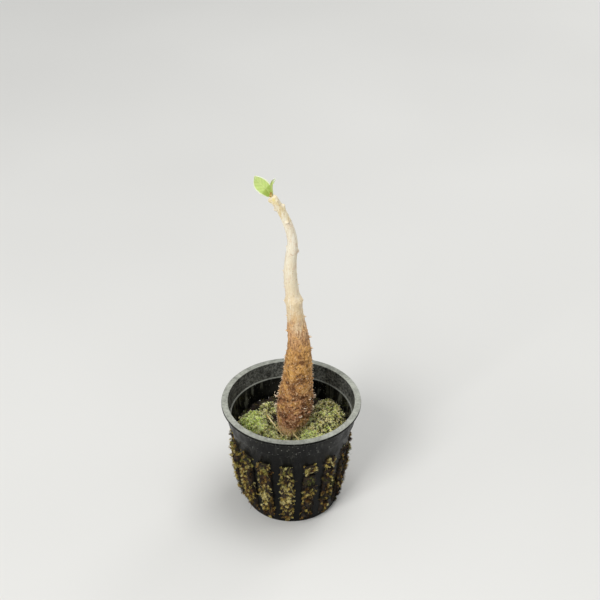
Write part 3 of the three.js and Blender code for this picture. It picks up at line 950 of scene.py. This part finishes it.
def on_bulge(point, normal):
    """True on a bulge of the medium, clear of the ribs and of the crossbar."""
    outward = Vector((point.x, point.y, 0)).normalized()
    clear_of_rib = abs(from_slot(point)) < slot_half * 0.86
    clear_of_bar = not BAR_LOW - 0.7 < point.z < BAR_HIGH + 0.7
    stands_out = math.hypot(point.x, point.y) > wall_radius(point.z) + 0.1
    return clear_of_rib and clear_of_bar and stands_out and normal.dot(outward) > 0


def lie_along(normal, chance, least, most, sideways=1.0):
    """A direction mostly along a surface, which stands out from it by a random share."""
    loose = Vector((chance.gauss(0, sideways), chance.gauss(0, sideways), chance.gauss(0, 1)))
    flat = (loose - normal * loose.dot(normal)).normalized()
    return (flat + normal * chance.uniform(least, most)).normalized()


print(len(TUFTS), "tufts differ from their slot")

# %% [markdown]
# In some slots the strands hang over the crossbar and hide it. Bare fibres lie between the sprigs.

# %% Plant the moss in the slots
HIDDEN_BARS = (-162, -94, -72, -49, -27, 108, 153)
SPRIGS_PER_BAR = 26
chance = random.Random(23)
sprig_spots = []
for point, normal in scatter(medium, 2900, 0.66, on_bulge, chance):
    tuft_and_painted_light = patch(point, 2.4, 3)
    if tuft_and_painted_light < 0.37:
        continue
    # Painted light: sprigs that the noise pushes out are paler, as a highlight, and sunk ones darker, as
    # shade.
    tint = 3.0 * tuft_and_painted_light - 1.1 + chance.uniform(-0.26, 0.26) + slot_tone(point)
    direction = lie_along(normal, chance, 0.0, 0.7, 0.6)
    sprig_spots.append(spot(point + normal * (tuft_and_painted_light - 0.55) * MM, direction, chance.uniform(*ANY_TURN),
                            chance.uniform(0.38, 0.7), tint))
for bearing in HIDDEN_BARS:
    for _ in range(SPRIGS_PER_BAR):
        outward = towards(math.radians(bearing + chance.uniform(-6.5, 6.5)))
        level = chance.uniform(BAR_LOW - 0.6, BAR_HIGH + 0.6)
        place = (outward * (wall_radius(level) + 0.15) + Vector((0, 0, level))) * MM
        direction = lie_along(outward, chance, 0.1, 0.5, 0.5)
        tint = 0.25 + slot_tone(place) + chance.uniform(-0.1, 0.4)
        sprig_spots.append(spot(place, direction, chance.uniform(*ANY_TURN),
                                chance.uniform(0.4, 0.65), tint))
fibre_spots = []
for point, normal in scatter(medium, 900, 0.9, on_bulge, chance):
    direction = lie_along(normal, chance, 0.1, 0.6, 0.6)
    fibre_spots.append(spot(point, direction, chance.uniform(*ANY_TURN), chance.uniform(0.35, 0.65),
                            chance.choice((0.0, 0.2, 0.55, 0.8, 0.95)) + slot_tone(point)))
slot_moss = plant("slot_moss", sprig, sprig_spots)
slot_fibres = plant("slot_fibres", fibre, fibre_spots)
print(len(sprig_spots), "sprigs and", len(fibre_spots), "fibres in the slots")

# %% [markdown]
# On top, the litter is dark at the back, where the pot shades it, and paler round the stem. Thin
# pale roots fan out from the foot of the stem and run down into the litter.

# %% Plant the litter on top
FOOT_ROOTS = 130


def on_top(point, normal):
    """True on the medium's top, inside the pot."""
    return point.z > 40 and normal.z > 0.6 and math.hypot(point.x, point.y) < 31


sprig_spots = []
for point, normal in scatter(medium, 700, 1.2, on_top, chance):
    direction = lie_along(normal, chance, 0.0, 0.5)
    shade = float(np.interp(point.y / MM, (-5, 10), (0.1, -0.75)))
    shade += float(np.interp(math.hypot(point.x / MM + 1, point.y / MM), (6.5, 9.5), (0.5, 0)))
    sprig_spots.append(spot(point, direction, chance.uniform(*ANY_TURN), chance.uniform(0.4, 0.7),
                            1.2 * patch(point, 4, 9) + shade))
fibre_spots = []
for point, normal in scatter(medium, 200, 1.8, on_top, chance):
    direction = lie_along(normal, chance, 0.0, 0.3)
    shade = float(np.interp(point.y / MM, (-5, 10), (0.1, -0.6)))
    fibre_spots.append(spot(point, direction, chance.uniform(*ANY_TURN), chance.uniform(0.4, 0.9),
                            chance.choice((0.2, 0.5, 0.8, 0.9)) + shade))
for _ in range(FOOT_ROOTS):
    outward = towards(chance.uniform(-math.pi, math.pi))
    level = chance.uniform(44.5, 50)
    middle, radius = stem_at(level)
    place = Vector((middle, 0, level)) + outward * (radius + chance.uniform(-0.1, 0.6))
    direction = (outward * 0.45 + Vector((chance.gauss(0, 0.3), chance.gauss(0, 0.3), -1))).normalized()
    fibre_spots.append(spot(place * MM, direction, chance.uniform(*ANY_TURN), chance.uniform(0.4, 0.75),
                            chance.uniform(1.0, 1.35)))
top_litter = join(plant("top_litter", sprig, sprig_spots), plant("top_fibres", fibre, fibre_spots))
discard(sprig)
print(len(sprig_spots), "sprigs and", len(fibre_spots), "fibres on top")

# %% [markdown]
# Dried moss is papery and matt. Its colour runs from near black, which is painted shade for the
# gaps, through red brown and gold to straw. The tint of each sprig picks the place on that ramp, its
# foot is painted darker as shade and its tip paler as a highlight, and what grows near the top of
# the slots still has some green in it.

# %% Finish of the dried moss
# The near-black end of this ramp is painted shade for the gaps between sprigs.
MOSS_SHADE_AND_AGES = [
    (0.0, "120b06"), (0.16, "33200f"), (0.32, "6b4826"), (0.48, "94723c"), (0.64, "b29b4b"),
    (0.8, "cbb863"), (1.0, "ded192"),
]
dried_moss, tree, shader, place = new_material("dried long-fibred moss", {
    "Roughness": 0.85, "Specular IOR Level": 0.25,
})
height = add_node(tree, "SeparateXYZ", {0: place}).outputs["Z"]
green = add_node(tree, "TexNoise", {"Vector": place, "Scale": grains(6.25), "Detail": 2})
tint, rise = [
    add_node(tree, "Attribute", attribute_name=label).outputs["Fac"]
    for label in ("tint", "rise")
]
# Painted shade at the foot of each sprig and a painted highlight at its tip.
lit_tip_shaded_foot = mask(tree, (rise, 0, 1, -0.34, 0.2))
age_and_shade = add_node(tree, "Math", {0: tint, 1: lit_tip_shaded_foot}, operation="ADD")
tone = add_node(tree, "ValToRGB", {"Fac": age_and_shade}, MOSS_SHADE_AND_AGES)
tone = paint(tree, tone, "9aa052", (green, 0.5, 0.62), (height, 22 * MM, 42 * MM, 0.1, 0.6),
             (height, 46 * MM, 44 * MM))
plug_in(tree, shader, {"Base Color": tone})
for dried in (slot_moss, slot_fibres, top_litter):
    wear(dried, dried_moss)

# %% [markdown]
# The core stands for the packed moss under the sprigs. It is painted nearly black, as the shade in
# the gaps between the sprigs, with brown crumbs as big as a grain of sand, and its bump is deep, so
# the light that falls between the sprigs is swallowed.

# %% Finish of the imported core
# Painted shade: the core is nearly black because it only shows in the gaps between sprigs.
core_painted_shade, tree, shader, place = new_material("packed core painted as shade", {"Roughness": 0.9})
crumb = add_node(tree, "TexNoise", {"Vector": place, "Scale": grains(1.43), "Detail": 6})
CRUMBS_IN_SHADE = [(0.35, "0c0805"), (0.55, "261909"), (0.75, "4c3820")]
tone = add_node(tree, "ValToRGB", {"Fac": crumb}, CRUMBS_IN_SHADE)
bump = add_node(tree, "Bump", {"Height": crumb, "Strength": 0.8, "Distance": 0.6 * MM})
plug_in(tree, shader, {"Base Color": tone, "Normal": bump})
wear(medium, core_painted_shade)
take_place(medium, "medium", "growing_medium")
for dried in (slot_moss, slot_fibres, top_litter):
    take_place(dried, "medium")

# %% [markdown]
# ## The live moss
#
# Five low cushions of live moss grow on top. Each is a mound of upright shoots, and a shoot seen
# from above is a small star of narrow leaves. A copy of the plain solid gives the mound, and the
# stars are planted all over it. The bright ones are fresh yellow green. The large mound at the
# right is olive, with dark gaps between its shoots, where the mound under them is painted dark as
# shade.

# %% Model three shoots
narrow_scale = leaflet("narrow_scale", 1.15, 0.36, 0.22)
shoots = [
    whorls("open_shoot", narrow_scale, [(6, 0.1, 72, 1), (5, 0.4, 52, 0.95), (4, 0.65, 30, 0.8)]),
    whorls("tall_shoot", narrow_scale, [
        (5, 0.1, 66, 0.9), (5, 0.55, 55, 1), (4, 0.95, 38, 0.85), (3, 1.25, 16, 0.6),
    ]),
    whorls("tight_shoot", narrow_scale, [(5, 0.0, 50, 0.85), (4, 0.35, 34, 0.8), (3, 0.6, 15, 0.6)]),
]
discard(narrow_scale)
print("shoots of", [faces_of(shoot) for shoot in shoots], "triangles")

# %% [markdown]
# A mound gets lumps of three sizes before it is planted. Two cushions have sunk a little into the
# medium since they were laid, so their mounds are moved before that.

# %% Mounds and shoots
CUSHIONS = [
    # plain solid, name, slot, how many shoots, how far apart, how fresh
    ("moss_cushion_left", "moss_left", "green_moss", 300, 0.95, 1.1),
    ("moss_cushion_front_left", "moss_front_left", "olive_moss", 110, 0.95, 0.55),
    ("moss_cushion_back_left", "moss_back_left", "olive_moss", 140, 0.95, 0.25),
    ("moss_cushion_right", "moss_right", "olive_moss", 700, 1.02, 0.4),
    ("moss_cushion_front", "moss_front", "green_moss", 120, 0.95, 0.8),
]
SETTLED = {
    # how far a cushion has moved in millimetres, and how its size has changed
    "moss_back_left": ((0.3, -0.6, -1.0), (0.85, 0.85, 0.85)),
    "moss_right": ((-1.2, 0, -1.2), (1, 1, 1)),
}


def upper_side(point, normal):
    """True where a mound doesn't face down or lie under the medium."""
    return normal.z > -0.25 and point.z > 42.5


def grow(name, surface, count, apart, accepts, fresh, chance):
    """Plants shoots of all three kinds on a surface, as one mesh."""
    spots = [[], [], []]
    for point, normal in scatter(surface, count, apart, accepts, chance):
        direction = (normal + Vector((chance.gauss(0, 0.3), chance.gauss(0, 0.3), 0.5))).normalized()
        tint = fresh + 1.1 * (patch(point, 3, 1) - 0.5) + chance.uniform(-0.28, 0.28)
        kind = chance.randrange(3)
        spots[kind].append(spot(point - normal * 0.3 * MM, direction, chance.uniform(*ANY_TURN),
                                chance.uniform(0.8, 1.45), tint))
    return join(*[plant(name, shoot, some) for shoot, some in zip(shoots, spots)])


def mossy(mound, count, apart, fresh, chance):
    """Makes a plain mound lumpy and covers it with shoots."""
    finish_modifier(mound, "REMESH", mode="VOXEL", voxel_size=0.5 * MM)
    finish_modifier(mound, "SMOOTH", factor=0.5, iterations=4)
    for grain, depth in ((4.5, 2.4), (1.9, 2.0), (0.8, 0.6)):
        roughen(mound, grain, depth)
    bpy.ops.object.shade_smooth()
    covering = grow(mound.name + "_shoots", mound, count, apart, upper_side, fresh, chance)
    # Painted shade: a low rise paints the mound dark where it shows between the shoots.
    give_attribute(mound, "rise", 0.08)
    give_attribute(mound, "tint", fresh * 0.7)
    return join(mound, covering)


def settle(mound, shift, sizes):
    """Moves a mound in millimetres and resizes it about its own middle."""
    corners = [Vector(corner) for corner in mound.bound_box]
    middle = sum(corners, Vector()) / 8
    only(mound)
    bpy.ops.object.mode_set(mode="EDIT")
    bpy.ops.mesh.select_all(action="SELECT")
    bpy.ops.transform.resize(value=sizes, center_override=middle)
    bpy.ops.transform.translate(value=Vector(shift) * MM)
    bpy.ops.object.mode_set(mode="OBJECT")


chance = random.Random(5)
cushions = []
for node, name, slot, count, apart, fresh in CUSHIONS:
    mound = cast_from(node, name)
    if name in SETTLED:
        settle(mound, *SETTLED[name])
    cushions.append((mossy(mound, count, apart, fresh, chance), slot, [node]))
print(len(cushions), "cushions")

# %% [markdown]
# The cushions grow out into each other, so shoots are planted on the medium beside them too, and
# copies of the front cushion fill the hollows between them. Three bare fibres stand upright in the
# moss in front.

# %% Fill between the cushions
FILLERS = [
    # how far right, back and up from the front cushion, sizes, how many shoots, how fresh
    (2.6, 7.6, 0.4, (0.8, 1.3, 1.35), 130, 0.35), (6.5, -3.5, 0.6, (1.2, 0.9, 1), 110, 0.75),
    (-5.4, -4.6, -0.9, (1, 0.7, 0.9), 90, 0.6), (-15.5, -3.6, 0.2, (1, 0.8, 0.8), 90, 0.45),
    (-26.5, 6.5, 0.3, (0.9, 1.1, 0.9), 110, 0.8), (-25.2, 16.5, 0, (1, 1, 0.8), 100, 0.3),
]
UPRIGHT_FIBRES = [
    # place, the way it points, turn, size and tint
    ((8.4, -9.6, 43.6), (0.1, -0.1, 1), 0, 1.0, 1.2), ((5.2, -10.5, 43.2), (0.3, -0.2, 1), 2, 0.6, 1.2),
    ((9.6, -8.8, 43.4), (0.3, 0.1, 1), 1, 0.7, 0.8),
]


def beside_cushions(point, normal):
    """The parts of the medium's top where moss has spread, left and right of the stem."""
    left = point.x < -9 and -18 < point.y < 9
    right = 6 < point.x and -16 < point.y < 6
    front = abs(point.x) <= 9 and point.y < -10
    return on_top(point, normal) and (left or right or front)


carpet = grow("moss_carpet", medium, 620, 0.8, beside_cushions, 0.5, chance)
for number, (right, back, up, sizes, count, fresh) in enumerate(FILLERS):
    mound = cast_from("moss_cushion_front", "filler_%d" % number)
    settle(mound, (right, back, up), sizes)
    join(carpet, mossy(mound, count, 0.85, fresh, chance))
upright_fibres = plant("upright_fibres", fibre, [
    spot(Vector(place) * MM, Vector(direction).normalized(), turn, size, tint)
    for place, direction, turn, size, tint in UPRIGHT_FIBRES
])
cushions.append((join(carpet, upright_fibres), "olive_moss", []))
for pattern in (*shoots, fibre):
    discard(pattern)
print("the carpet has", faces_of(carpet), "triangles")

# %% [markdown]
# A living moss leaf is thin and lets a little light through. Each shoot is painted dark at the foot,
# as painted shade, and bright at the tip, as painted light. The tint moves the whole shoot from olive
# brown to fresh yellow green. A cloudy pattern dries a few tips to tan and lays dark painted shade
# on a few patches.

# %% Finish of the live moss
OLIVE_SHADED_TO_LIT = [(0.0, "14130a"), (0.16, "6b6224"), (0.34, "c3b75a"), (0.52, "e8dd8e"), (0.75, "f7f1c6")]
FRESH_SHADED_TO_LIT = [(0.0, "26320c"), (0.14, "98b02e"), (0.3, "d4ea5c"), (0.5, "ebfa90"), (0.75, "f9fdc8")]
live_moss, tree, shader, place = new_material("live cushion moss", {
    "Roughness": 0.7, "Specular IOR Level": 0.15,
    "Subsurface Weight": 0.1, "Subsurface Radius": (0.4 * MM, 0.6 * MM, 0.1 * MM),
})
tint, rise = [
    add_node(tree, "Attribute", attribute_name=label).outputs["Fac"]
    for label in ("tint", "rise")
]
dry, shade = [
    add_node(tree, "TexNoise", {"Vector": place, "Scale": grains(size), "Detail": 2})
    for size in (1.54, 1.92)
]
# By rise, each shoot is painted dark at the foot as shade and bright at the tip as light.
olive = add_node(tree, "ValToRGB", {"Fac": rise}, OLIVE_SHADED_TO_LIT)
fresh = add_node(tree, "ValToRGB", {"Fac": rise}, FRESH_SHADED_TO_LIT)
inputs = {0: mask(tree, (tint, 0.2, 1.0)), 6: olive, 7: fresh}
tone = add_node(tree, "Mix", inputs, data_type="RGBA").outputs[2]
tone = paint(tree, tone, "dcc39c", (dry, 0.61, 0.69, 0, 0.7), (rise, 0.2, 0.6))
# Painted shade: dark patches laid over some shoots.
tone = paint(tree, tone, "1f1f0d", (shade, 0.51, 0.41, 0, 0.92), (tint, 1.1, 0.4, 0.25, 1))
plug_in(tree, shader, {"Base Color": tone})
for mound, slot, nodes in cushions:
    wear(mound, live_moss)
    take_place(mound, slot, *nodes)

# %% [markdown]
# ## The leaves
#
# One leaf has opened and one is still folded. A blade is given by pairs of points on its two edges,
# from the foot to the tip. It starts as one row of points bent into a shallow V, with the midrib at
# the bottom of the V, and that row is extruded, scaled, turned and moved to each pair of points. The
# open leaf also leans back from its middle on, so its outer half faces the light and looks brighter.
# Solidify gives it a thickness, and subdivision rounds it.

# %% Pull a blade
def row_between(low_x, low_z, high_x, high_z, depth):
    """Middle, width and slope of a row that joins two points on the edges of a blade."""
    across = Vector((high_x - low_x, 0, high_z - low_z))
    middle = Vector(((low_x + high_x) / 2, depth, (low_z + high_z) / 2))
    return middle, across.length, math.atan2(across.z, across.x)


def label_selected(mesh, label, value):
    """Writes a number to the selected points of an edit mesh."""
    built = bmesh.from_edit_mesh(mesh)
    layer = built.verts.layers.float[label]
    for vertex in built.verts:
        if vertex.select:
            vertex[layer] = value
    bmesh.update_edit_mesh(mesh)


def pull_blade(name, points, fold, edges):
    """Pulls a blade row by row. Its points know how far across and how far along they lie."""
    bpy.ops.mesh.primitive_grid_add(x_subdivisions=points - 1, y_subdivisions=1, size=MM)
    piece = bpy.context.object
    piece.name = name
    across = piece.data.attributes.new("across", "FLOAT", "POINT")
    across.data.foreach_set("value", [vertex.co.x / MM + 0.5 for vertex in piece.data.vertices])
    piece.data.attributes.new("along", "FLOAT", "POINT")
    bpy.ops.object.mode_set(mode="EDIT")
    choose(piece.data, "verts", lambda vertex: vertex.co.y > 0)
    bpy.ops.mesh.delete(type="VERT")
    bpy.ops.mesh.select_all(action="SELECT")
    bpy.ops.transform.translate(value=(0, 0.5 * MM, 0))
    half = (points - 1) // 2
    for step in range(half):
        reach = (half - step - 0.5) / (points - 1) * MM
        choose(piece.data, "verts", lambda vertex: abs(vertex.co.x) < reach)
        bpy.ops.transform.translate(value=(0, fold / half * MM, 0))
    bpy.ops.mesh.select_mode(type="EDGE")
    bpy.ops.mesh.select_all(action="SELECT")
    middle, width, slope = Vector(), 1.0, 0.0
    for step, edge_points in enumerate(edges):
        if step:
            bpy.ops.mesh.extrude_region_move()
        new_middle, new_width, new_slope = row_between(*edge_points)
        pivot = middle * MM
        bpy.ops.transform.resize(value=(new_width / width,) * 3, center_override=pivot)
        bpy.ops.transform.rotate(value=new_slope - slope, orient_axis="Y", center_override=pivot)
        bpy.ops.transform.translate(value=(new_middle - middle) * MM)
        middle, width, slope = new_middle, new_width, new_slope
        label_selected(piece.data, "along", step / (len(edges) - 1))
    bpy.ops.object.mode_set(mode="OBJECT")
    return piece


# %% [markdown]
# The open leaf is about 13 mm long with a short point. The young leaf stands upright beside its
# foot, folded along the midrib. The stipule is the dry scale that wrapped both while in bud.

# %% Pull the open leaf, the young leaf and the stipule
OPEN_LEAF = [
    # lower edge x and z, upper edge x and z, depth
    (-9.9, 189.5, -9.1, 190.4, 0.3), (-10.8, 189.0, -8.95, 192.3, 0.1),
    (-12.1, 189.6, -8.9, 194.5, -0.1), (-13.5, 190.5, -9.2, 196.3, -0.25),
    (-15.0, 191.4, -10.1, 197.6, -0.15), (-16.5, 192.6, -11.5, 198.8, 0.3),
    (-17.6, 194.2, -13.1, 199.7, 0.7), (-17.9, 196.3, -14.8, 200.2, 0.95),
    (-17.7, 198.2, -16.1, 200.4, 1.1), (-17.5, 200.0, -16.9, 200.5, 1.2),
]
YOUNG_LEAF = [
    (-9.0, 190.0, -8.2, 190.0, -0.5), (-9.3, 193.2, -8.4, 193.2, -0.7),
    (-9.6, 195.6, -8.6, 195.7, -0.7), (-9.7, 197.2, -8.4, 196.9, -0.7),
    (-9.2, 198.6, -7.6, 198.0, -0.7), (-8.5, 199.6, -7.0, 199.1, -0.7),
    (-7.6, 200.1, -6.8, 199.8, -0.7),
]
STIPULE = [
    (-10.0, 189.8, -9.0, 189.9, -1.2), (-10.1, 190.9, -8.9, 191.0, -1.35),
    (-9.9, 191.8, -8.9, 191.8, -1.3), (-9.6, 192.8, -9.1, 192.8, -1.1),
]
leaf = pull_blade("leaf_blade", 11, 0.14, OPEN_LEAF)
folded_leaf = pull_blade("folded_leaf", 5, 0.34, YOUNG_LEAF)
leaf_scale = pull_blade("leaf_scale", 5, 0.2, STIPULE)
for blade, thick in ((leaf, 0.28), (folded_leaf, 0.3), (leaf_scale, 0.25)):
    finish_modifier(blade, "SOLIDIFY", thickness=thick * MM, offset=0)
    finish_modifier(blade, "SUBSURF", levels=2, render_levels=2)
    bpy.ops.object.shade_smooth()
    print(blade.name, "is", thick, "mm thick")

# %% [markdown]
# A young leaf is soft and a little waxy, and some light passes through it. Its margin is pale, fine
# veins run out from the midrib to the margin, and the part near the foot is painted darker green, as
# the painted shade of the bend in the blade. The veins are stripes of a sine, slanted by how far a
# point lies from the midrib.

# %% Finish of the open leaf
GREENS_WITH_SHADED_FOOT = [
    (0.0, "a9a958"), (0.08, "9fb54c"), (0.36, "a6bd56"), (0.39, "c3d97b"), (0.8, "ccdf88"), (1.0, "d8e0b0"),
]
LEAF_GLOW = {"Subsurface Weight": 0.12, "Subsurface Radius": (0.5 * MM, 0.9 * MM, 0.2 * MM)}
VEINS = 52.0
leaf_finish, tree, shader, place = new_material("young waxy leaf", {"Roughness": 0.45, **LEAF_GLOW})
mottle = add_node(tree, "TexNoise", {"Vector": place, "Scale": grains(1.25), "Detail": 3})
across, along = [
    add_node(tree, "Attribute", attribute_name=label).outputs["Fac"]
    for label in ("across", "along")
]
aside = add_node(tree, "Math", {0: across, 1: 0.5}, operation="SUBTRACT")
aside = add_node(tree, "Math", {0: aside}, operation="ABSOLUTE")
slant = add_node(tree, "Math", {0: aside, 1: -0.45, 2: along}, operation="MULTIPLY_ADD")
stripe = add_node(tree, "Math", {0: slant, 1: VEINS}, operation="MULTIPLY")
vein = add_node(tree, "Math", {0: stripe}, operation="SINE")
# Painted shade: the blade is darker green up to about a third of its length.
tone = add_node(tree, "ValToRGB", {"Fac": along}, GREENS_WITH_SHADED_FOOT)
tone = paint(tree, tone, "dcf08a", (mottle, 0.5, 0.7, 0, 0.3))
tone = paint(tree, tone, "9db34e", (vein, 0.6, 1, 0, 0.35))
tone = paint(tree, tone, "dbe6a4", (aside, 0.03, 0.01, 0, 0.4))
tone = paint(tree, tone, "eaefd2", (aside, 0.4, 0.45, 0, 0.95))
ribs = add_node(tree, "Bump", {"Height": vein, "Strength": 0.25, "Distance": 0.1 * MM})
plug_in(tree, shader, {"Base Color": tone, "Normal": ribs})
wear(leaf, leaf_finish)
take_place(leaf, "leaf", "leaf_open")

# %% [markdown]
# The folded leaf shows only its pale underside. It fades from yellow green to grey white at its
# tip, which hasn't turned green yet.

# %% Finish of the folded leaf
FADING = [
    (0.0, "d8cf9c"), (0.12, "bccb74"), (0.5, "b5c868"), (0.66, "c4cf98"), (0.8, "d7dcc4"), (1.0, "dfe2d2"),
]
folded_finish, tree, shader, place = new_material("folded leaf with a pale tip", {
    "Roughness": 0.5, **LEAF_GLOW,
})
along = add_node(tree, "Attribute", attribute_name="along").outputs["Fac"]
mottle = add_node(tree, "TexNoise", {"Vector": place, "Scale": grains(1.11), "Detail": 3})
tone = add_node(tree, "ValToRGB", {"Fac": along}, FADING)
tone = paint(tree, tone, "a3ad84", (mottle, 0.5, 0.7, 0, 0.35))
plug_in(tree, shader, {"Base Color": tone})
wear(folded_leaf, folded_finish)
take_place(folded_leaf, "leaf", "leaf_young")

# %% [markdown]
# ## Dry straws
#
# One flat straw lies from the back left to the foot of the stem, and one needle lies in front of
# it. Both are modelled upright as a tapered stalk, flattened, and then laid down between two points.

# %% Lay the straw and the needle
def lay_down(piece, start, end, flat):
    """Flattens an upright stalk and lays it so that its foot is at the start."""
    direction = Vector(end) - Vector(start)
    only(piece)
    piece.scale = (1, flat, 1)
    bpy.ops.object.transform_apply(location=True, rotation=True, scale=True)
    turn = Vector((0, 0, 1)).rotation_difference(direction.normalized())
    piece.rotation_euler = turn.to_euler()
    piece.location = Vector(start) * MM
    bpy.ops.object.transform_apply(location=True, rotation=True, scale=True)
    finish_modifier(piece, "SUBSURF", levels=1, render_levels=1)
    print(piece.name, "lies at", round(piece.bound_box[0][2] / MM, 1), "mm")


straw = tapered("straw", 10, [
    (0.3, 0, 0), (0.6, 0.3, 0), (0.72, 1.5, 0.05), (0.6, 4, 0.1), (0.48, 8, 0), (0.4, 12, -0.1),
    (0.48, 15, -0.05), (0.6, 17.4, 0.05), (0.45, 18.4, 0.1), (0.15, 18.8, 0.12),
])
lay_down(straw, (-13.4, 7.5, 48.0), (-3.9, -8.0, 45.4), 0.6)
needle = tapered("needle", 8, [
    (0.15, 0, 0), (0.3, 0.8, 0), (0.44, 2.4, 0.1), (0.46, 4.6, 0.15), (0.3, 6.4, 0.1), (0.1, 7, 0),
])
lay_down(needle, (0.9, -6.9, 47.4), (4.3, -12.7, 46.9), 0.7)

# %% [markdown]
# Straw is glossy and golden where it is sound, and brown where it has started to rot. The stain
# runs along it, so its pattern is longer from front to back. The leaf scale is as dry, but matt and
# ochre.

# %% Finish of the straws and the leaf scale
STRAWS = [(0.3, "a57c40"), (0.42, "d3b676"), (0.58, "e6d29a"), (0.75, "efe3b8")]
OCHRES = [(0.3, "957033"), (0.5, "bd9748"), (0.7, "dcc57c")]
DRY_FINISHES = [
    # name, roughness, sizes of the stains, detail, colours, pieces
    ("dry straw", 0.45, (2, 5, 2), 4, STRAWS, (straw, needle)),
    ("dry ochre leaf scale", 0.6, (1.11, 1.11, 1.11), 3, OCHRES, (leaf_scale,)),
]
for name, roughness, sizes, detail, colours, pieces in DRY_FINISHES:
    finish, tree, shader, place = new_material(name, {"Roughness": roughness})
    stain = drawn_out(tree, place, sizes, detail)
    tone = add_node(tree, "ValToRGB", {"Fac": stain}, colours)
    plug_in(tree, shader, {"Base Color": tone})
    for piece in pieces:
        wear(piece, finish)
take_place(straw, "dry_plant", "dry_straw")
take_place(needle, "dry_plant", "dry_needle")
take_place(leaf_scale, "dry_plant", "stipule")
